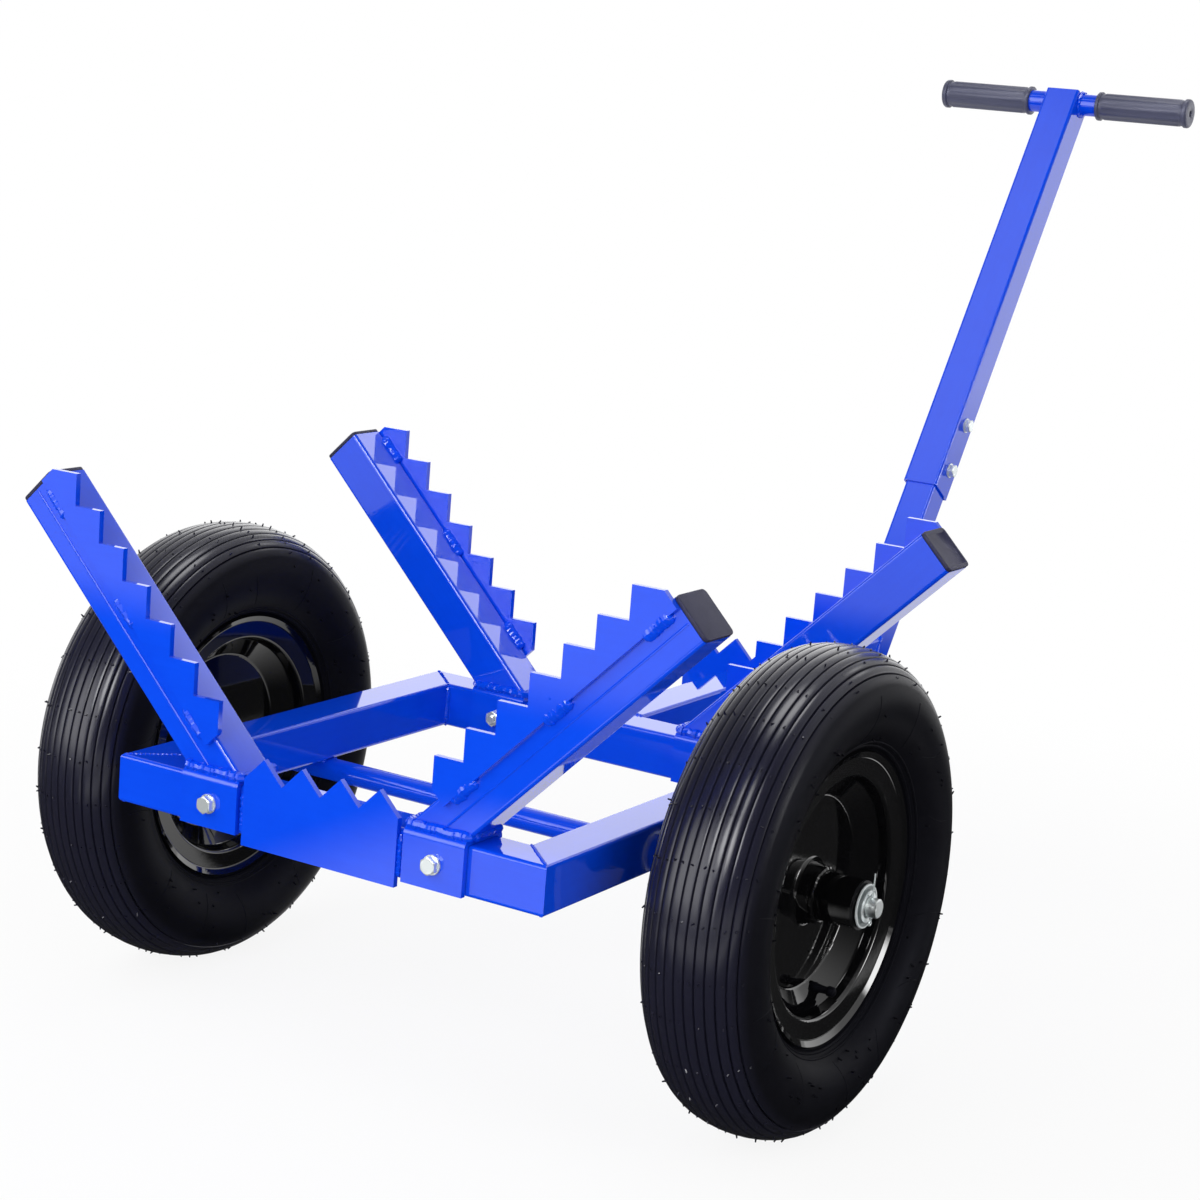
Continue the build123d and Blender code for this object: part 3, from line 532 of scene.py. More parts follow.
tow_axis = Vector((0, cos(TOW_LEAN), sin(TOW_LEAN)))
half = tube / 2
bm = bmesh.new()
ring = [
    Vector((x, far_high.y, z))
    for x, z in ((-half, deck - 0.002), (half, deck - 0.002), (half, deck - tube + 0.002),
                 (-half, deck - tube + 0.002), (-half, deck - 0.002))
]
bar_centre = Vector((0, far_high.y, deck - half))
weld_bead(
    bm, ring, lambda middle: (middle - bar_centre).normalized() + Vector((0, 1, 0)),
    BAR_BEAD_WIDTH, BAR_BEAD_HEIGHT, 111,
)
joint = Vector((0, far_high.y + TOW_REACH + 0.003, deck))
fall = tow_axis * (-tube / tow_axis.z)
reach = Vector((SLIDE_TUBE / 2 + 0.001, 0, 0))
rise = Vector((0, 0, 0.0005))
weld_bead(
    bm, (joint + fall - reach, joint + rise - reach, joint + rise + reach, joint + fall + reach),
    lambda middle: Vector((middle.x / half, -0.6, 0.9 if abs(middle.x) < 0.01 else 0)),
    JOINT_BEAD_WIDTH, JOINT_BEAD_HEIGHT, 113,
)
finish_piece("tow_bar_welds", bm, coat_along_y, "frame")

# Handle: 25 mm round tube laid through the notched top of the tow bar and welded round
# on both sides, with a ribbed rubber grip pushed over each end.
GRIP_RADIUS = 0.0150
GRIP_RIB = 0.0009
GRIP_RIBS = 10
GRIP_LIP = 0.0013
GRIP_END = 0.004
HANDLE_BEAD_WIDTH = 0.0055
HANDLE_BEAD_HEIGHT = 0.003
RUBBER = (0.072, 0.076, 0.125, 1)
DARK_RUBBER = (0.050, 0.053, 0.092, 1)

bar_low, bar_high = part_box("handle_bar")
bar_middle = (bar_low + bar_high) / 2
bar_radius = (bar_high.z - bar_low.z) / 2
paint(coat_along_x, "handle_bar")
bm = bmesh.new()
for side in (1, -1):
    round_bead(
        bm, Vector((side * (half + 0.0005), bar_middle.y, bar_middle.z)), bar_radius, side * BEAD_TILT,
        HANDLE_BEAD_WIDTH, HANDLE_BEAD_HEIGHT, 121 + side, dip=0.82,
    )
finish_piece("handle_welds", bm, coat_along_x, "frame")

grip_values = {
    "Colour": RUBBER, "Second Colour": DARK_RUBBER, "Patch Size": 70.0, "Grain Size": 2600.0,
    "Streaks": 0.5, "Roughness": 0.42, "Roughness Spread": 0.16, "Relief": 0.25,
}
grip_rubber = finish_material("grip_rubber", grip_values, streak_scale=DRAW_MARKS)


def ribbed(height, radius):
    """Station of the grip's ribbed length."""

    def rib(turn):
        return height, radius + (max(0.0, min(1.0, 0.5 + 1.8 * cos(GRIP_RIBS * turn))) - 0.4) * GRIP_RIB

    return rib


for name, side in (("left", -1), ("right", 1)):
    grip_low, grip_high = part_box(f"{name}_grip")
    inner_end = grip_low.x if side > 0 else grip_high.x
    length = grip_high.x - grip_low.x
    lip = GRIP_RADIUS + GRIP_LIP
    plain = GRIP_RADIUS - 0.0004
    stand = placed(
        Vector((0, 1, 0)), Vector((0, 0, 1)), Vector((side, 0, 0)), Vector((inner_end, bar_middle.y, bar_middle.z))
    )
    bm = bmesh.new()
    lathe(bm, stand, (
        (0.0, bar_radius + 0.0002), (0.0, lip - 0.0006), (0.0006, lip), (GRIP_END - 0.0006, lip),
        (GRIP_END, lip - 0.0008), (GRIP_END + 0.0005, plain), (GRIP_END + 0.004, plain),
        ribbed(GRIP_END + 0.0055, GRIP_RADIUS), ribbed(length - 0.012, GRIP_RADIUS),
        (length - 0.0105, plain), (length - 0.0065, plain), (length - 0.006, lip - 0.0008),
        (length - 0.0054, lip), (length - 0.0022, lip), (length - 0.0008, lip - 0.0009), (length, lip - 0.0030),
        (length, 0.0042), (length - 0.0004, 0.0037), (length - 0.0035, 0.0035),
    ), GRIP_RIBS * 8)
    finish_piece(
        f"{name}_handle_grip", bm, grip_rubber, "frame", [f"{name}_grip"], sharp=radians(50)
    )

# Bolts: zinc plated hexagon bolts with a washer, one through each saddle and crossmember
# with its nut inside, and two in the tow bar. Their ends show a few turns of thread.
ACROSS_FLATS = 0.013
HEX_CIRCLE = 0.0060
HEAD = 0.0053
NUT = 0.0065
WASHER = 0.0016
WASHER_RADIUS = 0.0080
SHANK = 0.0040
THREAD_DEPTH = 0.0004
THREAD_PITCH = 0.0012
STICK_OUT = 0.003


def hexagonal(low, high):
    """Stations of a hexagon from one height to another, chamfered round its high end."""

    def corner(turn):
        return ACROSS_FLATS / 2 / cos(turn % (pi / 3) - pi / 6)

    fall = 0.55 if high > low else -0.55
    return (
        lambda turn: (low, corner(turn)),
        lambda turn: (high - (corner(turn) - HEX_CIRCLE) * fall, corner(turn)),
        (high, HEX_CIRCLE),
    )


def bolt(bm, stand, length):
    """Bolt with its washer lying on stand's plane; its shank ends at length below that."""
    lathe(bm, stand, (
        (0, WASHER_RADIUS), (WASHER - 0.0003, WASHER_RADIUS), (WASHER, WASHER_RADIUS - 0.0003),
    ))
    lathe(bm, stand, hexagonal(WASHER, WASHER + HEAD))
    turns = [
        (THREAD_PITCH / 2 * (step + 1) - length, SHANK - THREAD_DEPTH * (step % 2)) for step in range(7)
    ]
    lathe(bm, stand, [(-length, SHANK - 0.0008), *turns, (WASHER, SHANK)], 24)


bm = bmesh.new()
for corner in corners:
    low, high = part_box(f"{corner}_saddle")
    hand = -1 if corner.startswith("near") else 1
    face = low.y if hand < 0 else high.y
    centre = Vector(((low.x + high.x) / 2, face, deck - tube / 2))
    stand = placed(Vector((0, 0, 1)), Vector((1, 0, 0)), Vector((0, hand, 0)), centre)
    grip = high.y - low.y
    bolt(bm, stand, grip + NUT + STICK_OUT)
    lathe(bm, stand, hexagonal(-grip, -grip - NUT))
finish_piece(
    "saddle_bolt_set", bm, zinc, "frame", ["saddle_bolts", "saddle_nuts", "saddle_washers"],
    sharp=radians(25),
)

low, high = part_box("tow_washers")
tail = low.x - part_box("tow_bolts")[0].x
inset = Vector((0, 0.01, 0.01))
bm = bmesh.new()
for centre in (Vector((low.x, low.y, low.z)) + inset, Vector((low.x, high.y, high.z)) - inset):
    stand = placed(tow_axis, Vector((0, tow_axis.z, -tow_axis.y)), Vector((1, 0, 0)), centre)
    bolt(bm, stand, tail)
finish_piece("tow_bolt_set", bm, zinc, "frame", ["tow_bolts", "tow_washers"], sharp=radians(25))
paint(zinc, "tow_nuts")

# Wheel stops: at each end of the axle a wide and a narrow plated washer, with dark rings of painted shade
# where they meet and round the axle's end, held by a split pin with one leg left upright and one bent over.
# Flanged steel bearings, coloured near black, run inside the hubs.
WIDE_WASHER = 0.0017
NARROW_RADIUS = 0.0135
NARROW_WASHER = 0.0016
PIN_WIRE = 0.0007
PIN_EYE = 0.0018
PIN_BEND = 0.0035
PIN_TAIL = 0.0042
# Rings of painted shade: one just outside the narrow washer, one round the axle's end.
PAINTED_SHADE_RINGS = ((NARROW_RADIUS + 0.0014, 0.0020), (END_RADIUS, 0.0016))
PAINTED_SHADE = (0.035, 0.055, 0.058, 1)
BEARING = (0.022, 0.023, 0.025, 1)
DARK_BEARING = (0.012, 0.013, 0.014, 1)

pins_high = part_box("cotter_pins")[1]
wide_low, wide_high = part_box("outer_washers")
wide_radius = (wide_high.z - wide_low.z) / 2


def axle_distance(tree):
    """Distance from the axle's line, in this material."""
    where = add_node(tree, "ShaderNodeTexCoord").outputs["Object"]
    math = "ShaderNodeVectorMath"
    spoke = add_node(tree, math, {0: where, 1: (0, axle_y, axle_z)}, operation="SUBTRACT").outputs[0]
    spoke = add_node(tree, math, {0: spoke, 1: (0, 1, 1)}, operation="MULTIPLY").outputs[0]
    return add_node(tree, math, {0: spoke}, operation="LENGTH").outputs["Value"]


washer_finish = finish_material("zinc_plate_with_painted_shade", zinc_values, Metallic=0.35)
tree = washer_finish.node_tree
shader = tree.nodes["Principled BSDF"]
radius = axle_distance(tree)
# Darkens the washers' colour in rings of painted shade, just outside the narrow washer and round the axle's end.
painted_shade_mask = 0.0
for middle, half_width in PAINTED_SHADE_RINGS:
    off = add_node(tree, "ShaderNodeMath", {0: radius, 1: middle}, operation="SUBTRACT").outputs[0]
    off = add_node(tree, "ShaderNodeMath", {0: off}, operation="ABSOLUTE").outputs[0]
    ring = add_node(
        tree, "ShaderNodeMapRange", {0: off, 1: half_width * 0.6, 2: half_width * 1.3, 3: 0.85, 4: 0.0}
    ).outputs[0]
    painted_shade_mask = add_node(tree, "ShaderNodeMath", {0: painted_shade_mask, 1: ring}, operation="ADD").outputs[0]
bright = shader.inputs["Base Color"].links[0].from_socket
painted_shade_colour = add_node(tree, "ShaderNodeMix", {0: painted_shade_mask, 6: bright, 7: PAINTED_SHADE}, data_type="RGBA").outputs[2]
tree.links.new(painted_shade_colour, shader.inputs["Base Color"])
washers = bmesh.new()
pins = bmesh.new()


def rod(bm, points, radius):
    """Round wire along these points."""
    rings = []
    for place, point in enumerate(points):
        forward = (points[min(place + 1, len(points) - 1)] - points[max(place - 1, 0)]).normalized()
        side = forward.cross(Vector((1, 0, 0))).normalized()
        rings.append(placed(side * radius, forward.cross(side) * radius, forward * radius, point))
    skin(bm, rings, 10)


for side in (1, -1):
    stand = placed(
        Vector((0, 1, 0)), Vector((0, 0, 1)), Vector((side, 0, 0)), Vector((side * wide_high.x, axle_y, axle_z))
    )
    lathe(washers, stand, (
        (-WIDE_WASHER, wide_radius - 0.0003), (0.0003 - WIDE_WASHER, wide_radius), (-0.0003, wide_radius),
        (0, wide_radius - 0.0003),
    ), 48)
    lathe(washers, stand, (
        (0.0001, NARROW_RADIUS), (NARROW_WASHER - 0.0003, NARROW_RADIUS), (NARROW_WASHER, NARROW_RADIUS - 0.0003),
    ), 48)
    pin = Vector((side * (pins_high.x - 0.0018), axle_y, axle_z))
    eye = [
        pin + Vector((0, PIN_EYE * sin(turn), -axle_radius - PIN_EYE - 0.0012 + PIN_EYE * cos(turn)))
        for turn in (radians(18) + radians(324) * step / 16 for step in range(17))
    ]
    apart = Vector((0, PIN_WIRE * 0.95, 0))
    top = pins_high.z - axle_z - 0.0002
    upright = [pin + apart + Vector((0, 0, height)) for height in (-axle_radius, 0, axle_radius, top)]
    bent = [pin - apart + Vector((0, 0, height)) for height in (-axle_radius, 0, axle_radius - 0.001)]
    bent += [
        pin - apart + Vector((0, -PIN_BEND * (1 - cos(turn)), axle_radius - 0.001 + PIN_BEND * sin(turn)))
        for turn in (radians(22), radians(45), radians(68), radians(90))
    ]
    bent.append(bent[-1] + Vector((0, -PIN_TAIL, -0.0004)))
    for points in (upright, bent, eye):
        rod(pins, points, PIN_WIRE)
finish_piece("washer_pairs", washers, washer_finish, "frame", ["outer_washers"], sharp=radians(25))
finish_piece("split_pins", pins, zinc, "frame", ["cotter_pins"])
# The bearings are coloured near black.
bearing_values = dict(zinc_values, Colour=BEARING, Roughness=0.3)
bearing_values["Second Colour"] = DARK_BEARING
bearing_steel = finish_material("oiled_bearing_steel", bearing_values, Metallic=0.5)
paint(bearing_steel, "left_bearings", "right_bearings")
paint(zinc, "inner_washers")

# Rims and hubs: two pressed steel halves back to back, welded to a hub tube and dipped in
# black enamel. Beads run round both necks, where the halves meet the hub.
ENAMEL = (0.0035, 0.0035, 0.004, 1)
DARK_ENAMEL = (0.0025, 0.0025, 0.003, 1)
NECK = 0.0158
NECK_BEAD_WIDTH = 0.005
NECK_BEAD_HEIGHT = 0.0026
NECK_BEAD_TILT = 0.016

enamel_values = {
    "Colour": ENAMEL, "Second Colour": DARK_ENAMEL, "Patch Size": 30.0, "Grain Size": 380.0,
    "Streaks": 0.0, "Roughness": 0.04, "Roughness Spread": 0.03, "Relief": 0.03,
}
black_enamel = finish_material("black_enamel", enamel_values, Specular_IOR_Level=0.6)
wheels = {}
for name, side in (("left", -1), ("right", 1)):
    paint(black_enamel, f"{name}_outer_rim", f"{name}_inner_rim", f"{name}_hub")
    hub_low, hub_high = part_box(f"{name}_hub")
    wheel_x = (hub_low.x + hub_high.x) / 2
    hub_radius = (hub_high.z - hub_low.z) / 2
    wheels[name] = (wheel_x, side)
    bm = bmesh.new()
    for face in (-1, 1):
        round_bead(
            bm, Vector((wheel_x + face * NECK, axle_y, axle_z)), hub_radius + 0.0012, face * NECK_BEAD_TILT,
            NECK_BEAD_WIDTH, NECK_BEAD_HEIGHT, 131 + face + 3 * side, steps=30,
        )
    finish_piece(f"{name}_hub_welds", bm, black_enamel, f"{name}_wheel")

# Tyres: 4.00-8 ribbed rubber tyres with twelve fine grooves, a fitting ring by the rim and
# the short hairs and flow lines of the mould on tread and sidewalls. The tube is inside.
TYRE_RADIUS = 0.200
TYRE_HALF = 0.050
CROWN_RADIUS = 0.085
CROWN_TURN = radians(15)
CROWN_X = CROWN_RADIUS * sin(CROWN_TURN)
CROWN_R = TYRE_RADIUS - CROWN_RADIUS * (1 - cos(CROWN_TURN))
SHOULDER = (TYRE_HALF - CROWN_X) / (1 - sin(CROWN_TURN))
WIDEST_R = CROWN_R - SHOULDER * cos(CROWN_TURN)
LIP_X, LIP_R = 0.0289, 0.1220
SIDEWALL = ((TYRE_HALF - LIP_X) ** 2 + (WIDEST_R - LIP_R) ** 2) / (2 * (TYRE_HALF - LIP_X))
CASING = 0.007
GROOVE_PITCH = 0.0084
GROOVES = 6
GROOVE_DEPTH = 0.0019
GROOVE_SIDE = ((5.0, 0.0), (3.4, 0.00002), (2.0, 0.0001), (1.1, 0.00026), (0.75, 0.0008))
HAIR_ROWS = 30
HAIR_SKIPPED = 0.15
SIDE_HAIRS = 110
HAIR_RADIUS = 0.0006
FLOOR_GAP = 0.0004
TREAD_FROM = 0.176
TREAD_WHOLE = 0.188
FLOW_LINES = 14
TYRE_BLACK = (0.0042, 0.0042, 0.0060, 1)
TYRE_GREY = (0.0070, 0.0070, 0.0096, 1)
# Lighter, bluer colour of the tread: a painted sheen.
TREAD_PAINTED_SHEEN = (0.012, 0.012, 0.025, 1)

tyre_values = {
    "Colour": TYRE_BLACK, "Second Colour": TYRE_GREY, "Patch Size": 45.0, "Grain Size": 2400.0,
    "Streaks": 0.0, "Roughness": 0.42, "Roughness Spread": 0.14, "Relief": 0.16,
}
tyre_rubber = finish_material(
    "tyre_rubber", tyre_values, Specular_IOR_Level=0.03, Specular_Tint=(0.72, 0.76, 1, 1), Coat_Roughness=0.22,
)
tree = tyre_rubber.node_tree
# On the tread, a clear coat and a lighter, bluer base colour than on the sidewalls; the lighter colour is a
# painted sheen.
tread_coat_and_painted_sheen = add_node(
    tree, "ShaderNodeMapRange", {0: axle_distance(tree), 1: TREAD_FROM, 2: TREAD_WHOLE, 3: 0.0, 4: 0.75}
).outputs[0]
shader = tree.nodes["Principled BSDF"]
side_colour = shader.inputs["Base Color"].links[0].from_socket
tread = add_node(tree, "ShaderNodeMix", {0: tread_coat_and_painted_sheen, 6: side_colour, 7: TREAD_PAINTED_SHEEN}, data_type="RGBA").outputs[2]
tree.links.new(tread, shader.inputs["Base Color"])
tree.links.new(tread_coat_and_painted_sheen, shader.inputs["Coat Weight"])


def tread_point(along, depth=0.0):
    """Place (across, radius) on the tyre's outline by the distance along it from the crown."""
    crown = CROWN_RADIUS * CROWN_TURN
    hand = 1 if along >= 0 else -1
    if abs(along) < crown:
        turn = abs(along) / CROWN_RADIUS
        across = (CROWN_RADIUS - depth) * sin(turn)
        radius = TYRE_RADIUS - CROWN_RADIUS + (CROWN_RADIUS - depth) * cos(turn)
    else:
        turn = CROWN_TURN + (abs(along) - crown) / SHOULDER
        across = TYRE_HALF - SHOULDER + (SHOULDER - depth) * sin(turn)
        radius = WIDEST_R + (SHOULDER - depth) * cos(turn)
    return hand * across, radius


def sidewall_point(share, depth=0.0):
    """Place on the sidewall, from the widest part (0) to the rim's lip (1)."""
    turn = share * acos(1 - (TYRE_HALF - LIP_X) / SIDEWALL)
    reach = SIDEWALL - depth
    return TYRE_HALF - SIDEWALL + reach * cos(turn), WIDEST_R - reach * sin(turn)


shoulder_end = CROWN_RADIUS * CROWN_TURN + SHOULDER * (pi / 2 - CROWN_TURN)
half_outline = []
along = 0.0
for groove in range(GROOVES):
    centre = (groove + 0.5) * GROOVE_PITCH
    half_outline += [tread_point(centre - reach * GROOVE_PITCH / 10, depth) for reach, depth in GROOVE_SIDE]
    half_outline.append(tread_point(centre, GROOVE_DEPTH))
    half_outline += [tread_point(centre + reach * GROOVE_PITCH / 10, depth) for reach, depth in GROOVE_SIDE[:0:-1]]
start = GROOVES * GROOVE_PITCH
half_outline += [tread_point(start + (shoulder_end - start) * step / 6) for step in range(7)]
half_outline += [sidewall_point(share) for share in (0.12, 0.24, 0.36, 0.48, 0.6, 0.7)]
half_outline += [
    sidewall_point(0.76), sidewall_point(0.775, -0.0007), sidewall_point(0.80, -0.0007), sidewall_point(0.815),
    sidewall_point(0.87), sidewall_point(0.885, -0.0009), sidewall_point(0.92, -0.0009), sidewall_point(0.94),
    sidewall_point(1.0), (0.0264, 0.1145), (0.0242, 0.1014), (0.0142, 0.1014),
    (0.0142, 0.1085), (0.0195, 0.1085), (0.0205, 0.118), (0.0265, 0.128),
    sidewall_point(0.45, CASING), sidewall_point(0.2, CASING),
    (TYRE_HALF - CASING, WIDEST_R), tread_point(0.052, CASING), tread_point(0.036, CASING),
    tread_point(0.018, CASING), tread_point(0.0, CASING),
]


def hair(bm, root, lean, length):
    """Mould hair from its root, left out where its tip would reach the floor."""
    tip = root + lean.normalized() * length
    if tip.z < FLOOR_GAP:
        return
    stand = Matrix.Translation((root + tip) / 2) @ lean.to_track_quat("Z", "Y").to_matrix().to_4x4()
    bmesh.ops.create_cone(
        bm, cap_ends=True, segments=5, radius1=HAIR_RADIUS * 1.5, radius2=HAIR_RADIUS, depth=length, matrix=stand
    )


for name, (wheel_x, side) in wheels.items():
    chance = random.Random(141 + side)
    wheel_line = Vector((wheel_x, axle_y, axle_z))

    def on_tyre(across, radius, turn):
        """Point on the tyre at this place across it and turn round the axle."""
        return wheel_line + Vector((across, radius * sin(turn), radius * cos(turn)))

    bm = bmesh.new()
    outline = [bm.verts.new(on_tyre(across, radius, 0)) for across, radius in half_outline]
    run = [bm.edges.new(pair) for pair in zip(outline, outline[1:])]
    image = bmesh.ops.duplicate(bm, geom=outline + run)["geom"]
    bmesh.ops.scale(
        bm, vec=(-1, 1, 1), space=Matrix.Translation(-wheel_line),
        verts=[item for item in image if isinstance(item, bmesh.types.BMVert)],
    )
    bmesh.ops.remove_doubles(bm, verts=bm.verts, dist=0.00001)
    bmesh.ops.spin(
        bm, geom=bm.verts[:] + bm.edges[:], cent=wheel_line, axis=(1, 0, 0), angle=tau, steps=180, use_merge=True
    )
    bmesh.ops.remove_doubles(bm, verts=bm.verts, dist=0.00001)
    finish_piece(
        f"{name}_ribbed_tyre", bm, tyre_rubber, f"{name}_wheel", [f"{name}_tyre"], sharp=radians(42)
    )

    bm = bmesh.new()
    for row in range(HAIR_ROWS):
        turn = tau * (row + chance.uniform(-0.06, 0.06)) / HAIR_ROWS
        for rib in range(-GROOVES, GROOVES + 1):
            if chance.random() < HAIR_SKIPPED:
                continue
            across, radius = tread_point(rib * GROOVE_PITCH + chance.uniform(-0.0008, 0.0008))
            root = on_tyre(across, radius - 0.0005, turn + chance.uniform(-0.004, 0.004))
            lean = Vector((chance.uniform(-0.9, 0.9), 0, 0)) + (root - wheel_line).normalized()
            lean += Vector((0, cos(turn), -sin(turn))) * chance.uniform(-0.9, 0.9)
            hair(bm, root, lean, chance.uniform(0.0016, 0.0033))
    for spot in range(SIDE_HAIRS):
        face = 1 if spot % 2 else -1
        across, radius = sidewall_point(chance.uniform(-0.25, 0.7))
        turn = chance.uniform(0, tau)
        root = on_tyre(face * (across - 0.0005), radius, turn)
        lean = Vector((face, chance.uniform(-0.7, 0.7), chance.uniform(-0.9, 0.5)))
        hair(bm, root, lean, chance.uniform(0.002, 0.0045))
    finish_piece(f"{name}_tyre_hairs", bm, tyre_rubber, f"{name}_wheel")

    bm = bmesh.new()
    for line in range(FLOW_LINES):
        for face in (-1, 1):
            turn = tau * (line + chance.uniform(-0.25, 0.25)) / FLOW_LINES
            bend = chance.uniform(-0.12, 0.12)
            first, last = chance.uniform(-0.3, 0.1), chance.uniform(0.4, 0.7)
            rings = []
            for step in range(13):
                share = first + (last - first) * step / 12
                across, radius = sidewall_point(share)
                here = on_tyre(face * across, radius, turn + bend * (step / 12) ** 2)
                ahead_across, ahead_radius = sidewall_point(share + 0.02)
                ahead = on_tyre(face * ahead_across, ahead_radius, turn + bend * ((step + 0.3) / 12) ** 2)
                forward = (ahead - here).normalized()
                normal = Vector((face * (across - TYRE_HALF + SIDEWALL), 0, 0))
                normal += Vector((0, sin(turn), cos(turn))) * (radius - WIDEST_R)
                sideways = forward.cross(normal).normalized()
                rings.append(placed(sideways * 0.00035, sideways.cross(forward) * 0.00025, forward, here))
            skin(bm, rings, 4)
    finish_piece(f"{name}_tyre_flow_lines", bm, tyre_rubber, f"{name}_wheel")
    paint(tyre_rubber, f"{name}_inner_tube")

# Valves: a rubber stem through each outer rim half, thicker where it seals the hole, with
# a black cap pushed over its tip.
for name, (wheel_x, side) in wheels.items():
    low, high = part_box(f"{name}_valve")
    start = low.x if side > 0 else high.x
    centre = Vector((start, (low.y + high.y) / 2, (low.z + high.z) / 2))
    length = high.x - low.x
    bm = bmesh.new()
    rings = []
    for x, radius in (
        (0.0, 0.0040), (0.0012, 0.0044), (0.0050, 0.0044), (0.0062, 0.0038), (0.0100, 0.0033),
        (0.0150, 0.0030), (0.0156, 0.0040), (0.0162, 0.0043), (length - 0.0012, 0.0041), (length, 0.0030),
    ):
        place = centre + Vector((side * x, 0, 0))
        rings.append(placed(Vector((0, radius, 0)), Vector((0, 0, radius)), Vector((side * 0.01, 0, 0)), place))
    skin(bm, rings, 20)
    finish_piece(
        f"{name}_valve_stem", bm, tyre_rubber, f"{name}_wheel", [f"{name}_valve"],
        sharp=radians(50),
    )

# Floor: white paper, wider than the view, that shows the camera only the dolly's faint
# shadow. Gloss sees it dark but for the part left of and behind the dolly, a strip in
# front of it, a spot at its right and both far ends.
FLOOR_SIZE = 30.0
bm = bmesh.new()
bmesh.ops.create_grid(bm, x_segments=1, y_segments=1, size=FLOOR_SIZE / 2)
floor_mesh = bpy.data.meshes.new("floor")
bm.to_mesh(floor_mesh)
bm.free()
floor = bpy.data.objects.new("floor", floor_mesh)
bpy.context.scene.collection.objects.link(floor)
paper = bpy.data.materials.new("white_paper")
paper.use_nodes = True
tree = paper.node_tree
shader = tree.nodes["Principled BSDF"]
shader.inputs["Base Color"].default_value = (0.86, 0.86, 0.87, 1)
shader.inputs["Roughness"].default_value = 0.8
shader.inputs["Specular IOR Level"].default_value = 0.0
where = add_node(tree, "ShaderNodeTexCoord").outputs["Object"]
place = add_node(tree, "ShaderNodeSeparateXYZ", {0: where})


def ramp(value, start, end, low, high):
    """Smooth step of a value between two levels in the open node tree."""
    steps = {0: value, 1: start, 2: end, 3: low, 4: high}
    return add_node(tree, "ShaderNodeMapRange", steps, interpolation_type="SMOOTHSTEP").outputs[0]


def combined(first, second, operation):
    """Product, larger value or sum of two values in the open node tree."""
    return add_node(tree, "ShaderNodeMath", {0: first, 1: second}, operation=operation).outputs[0]


def distance_from(centre):
    """Distance on the floor from this place."""
    return add_node(tree, "ShaderNodeVectorMath", {0: where, 1: centre}, operation="DISTANCE").outputs["Value"]


far_front = ramp(place.outputs["Y"], -2.15, -1.85, 1.15, 0.03)
far_behind = ramp(place.outputs["Y"], 2.5, 5.0, 0.0, 0.8)
right_front = combined(
    ramp(place.outputs["X"], -0.50, -0.29, 0.0, 1.4), ramp(place.outputs["Y"], -1.58, -1.42, 0.0, 1.0), "MULTIPLY"
)
right_front = combined(right_front, ramp(place.outputs["Y"], -1.2, -1.0, 1.0, 0.0), "MULTIPLY")
right = ramp(distance_from((0.64, 0.14, 0)), 0.05, 0.11, 2.0, 0.0)
left_or_far = combined(
    ramp(place.outputs["X"], 0.12, 0.22, 1.0, 0.04), ramp(place.outputs["Y"], 1.2, 1.6, 0.0, 1.0), "MAXIMUM"
)
behind = combined(ramp(place.outputs["Y"], -0.45, -0.2, 0.04, 1.0), left_or_far, "MULTIPLY")
behind = combined(behind, right, "MAXIMUM")
shine = combined(combined(far_front, right_front, "MAXIMUM"), combined(behind, far_behind, "ADD"), "MAXIMUM")
ray = add_node(tree, "ShaderNodeLightPath")
level = add_node(
    tree, "ShaderNodeMix", {0: ray.outputs["Is Glossy Ray"], 2: 1.0, 3: shine}, data_type="FLOAT"
).outputs[0]
fade = ramp(distance_from((0.1, -0.3, 0)), 0.6, 1.5, 0.89, 1.0)
share = add_node(
    tree, "ShaderNodeMath", {0: ray.outputs["Is Camera Ray"], 1: fade, 2: ray.outputs["Is Glossy Ray"]},
    operation="MULTIPLY_ADD",
).outputs[0]
glow = add_node(tree, "ShaderNodeEmission", {"Color": (1, 1, 1, 1), "Strength": level}).outputs[0]
mixed = add_node(tree, "ShaderNodeMixShader", {0: share, 1: shader.outputs[0], 2: glow}).outputs[0]
tree.links.new(mixed, tree.nodes["Material Output"].inputs["Surface"])
floor_mesh.materials.append(paper)

# Surround: white to the camera. Gloss sees it dim in front and brighter behind, with
# round soft patches in front at four heights, overhead, at the right and behind.
world = bpy.data.worlds.new("studio")
world.use_nodes = True
bpy.context.scene.world = world
tree = world.node_tree
tree.nodes["Background"].inputs["Color"].default_value = (1, 1, 1, 1)
where = add_node(tree, "ShaderNodeTexCoord").outputs["Generated"]
place = add_node(tree, "ShaderNodeSeparateXYZ", {0: where})
shine = ramp(place.outputs["Y"], -0.3, 0.6, 0.05, 0.9)
for direction, whole, edge, strength in (
    ((-0.47, 0.84, 0.26), 12, 25, 1.15), ((0.18, 0.80, 0.565), 3.5, 6.5, 3.0),
    ((-0.40, -0.44, 0.80), 1, 8, 1.6), ((-0.45, -0.87, 0.12), 12, 34, 4.0),
    ((0.10, -0.86, 0.50), 8, 13, 14.0), ((0.15, -0.62, 0.77), 5, 10, 9.0),
    ((-0.02, 0.15, 0.99), 8, 18, 7.0), ((0.39, 0.92, 0.0), 10, 22, 0.9),
    ((0.91, 0.40, 0.10), 4, 10, 14.0),
):
    facing = add_node(
        tree, "ShaderNodeVectorMath", {0: where, 1: Vector(direction).normalized()}, operation="DOT_PRODUCT"
    ).outputs["Value"]
    shine = combined(shine, ramp(facing, cos(radians(edge)), cos(radians(whole)), 0.0, strength), "ADD")
ray = add_node(tree, "ShaderNodeLightPath")
level = add_node(
    tree, "ShaderNodeMix", {0: ray.outputs["Is Glossy Ray"], 2: 0.55, 3: shine}, data_type="FLOAT"
).outputs[0]
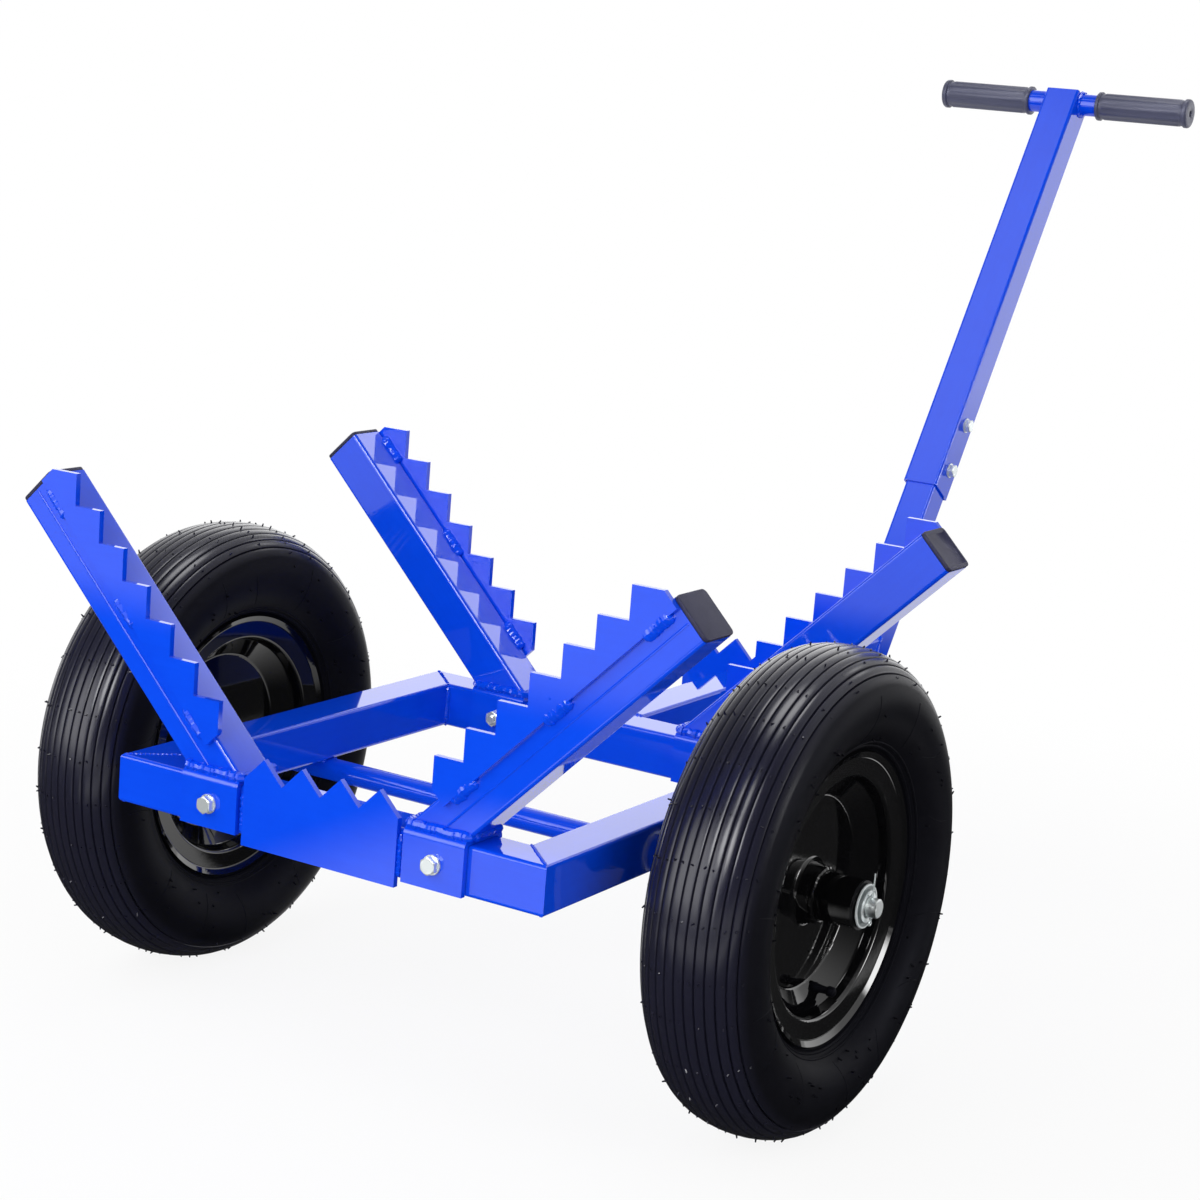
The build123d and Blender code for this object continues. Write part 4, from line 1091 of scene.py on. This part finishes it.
seen = add_node(
    tree, "ShaderNodeMath", {0: ray.outputs["Is Camera Ray"], 1: ray.outputs["Is Transmission Ray"]},
    operation="MAXIMUM",
).outputs[0]
level = add_node(tree, "ShaderNodeMix", {0: seen, 2: level, 3: 1.0}, data_type="FLOAT").outputs[0]
tree.links.new(level, tree.nodes["Background"].inputs["Strength"])


def soft_light(name, direction, distance, size, power):
    """Square soft box at this direction and distance from the dolly, facing it."""
    lamp = bpy.data.lights.new(name, "AREA")
    lamp.shape = "SQUARE"
    lamp.size = size
    lamp.energy = power
    made = bpy.data.objects.new(name, lamp)
    made.location = Vector((0, frame_middle, 0.35)) + Vector(direction).normalized() * distance
    made.rotation_euler = Vector(direction).to_track_quat("Z", "Y").to_euler()
    made.visible_camera = made.visible_glossy = False
    bpy.context.scene.collection.objects.link(made)


# Lamps: a large soft box in front lights the upright faces, one higher up the leaning
# tow bar, one fills the right and a wide one stands far behind. Gloss sees the surround.
soft_light("front_box", (0.0, -0.92, 0.40), 3.6, 1.8, 53)
soft_light("upper_box", (-0.50, -0.52, 0.69), 3.0, 2.0, 30)
soft_light("right_box", (0.85, -0.25, 0.50), 3.0, 1.6, 16)
soft_light("back_box", (-0.35, 0.90, 0.30), 3.4, 3.0, 24)

# Camera: the photograph's view, through a long lens turned a little off level. The angles
# and the distance come from a fit to the corners that show.
VIEW_AZIMUTH = radians(30.894)
VIEW_ELEVATION = radians(11.576)
VIEW_ROLL = radians(4.66)
VIEW_DISTANCE = 2.1771
VIEW_TARGET = Vector((0.1003, frame_middle, 0.4029))
LENS = 79.84

camera = bpy.data.objects.new("camera", bpy.data.cameras.new("camera"))
camera.data.lens = LENS
camera.data.sensor_width = 36
turn = (
    Matrix.Rotation(VIEW_AZIMUTH, 4, "Z")
    @ Matrix.Rotation(pi / 2 - VIEW_ELEVATION, 4, "X")
    @ Matrix.Rotation(VIEW_ROLL, 4, "Z")
)
camera.matrix_world = Matrix.Translation(VIEW_TARGET + turn.col[2].to_3d() * VIEW_DISTANCE) @ turn
bpy.context.scene.collection.objects.link(camera)
bpy.context.scene.camera = camera
bpy.context.scene.view_settings.view_transform = "Standard"
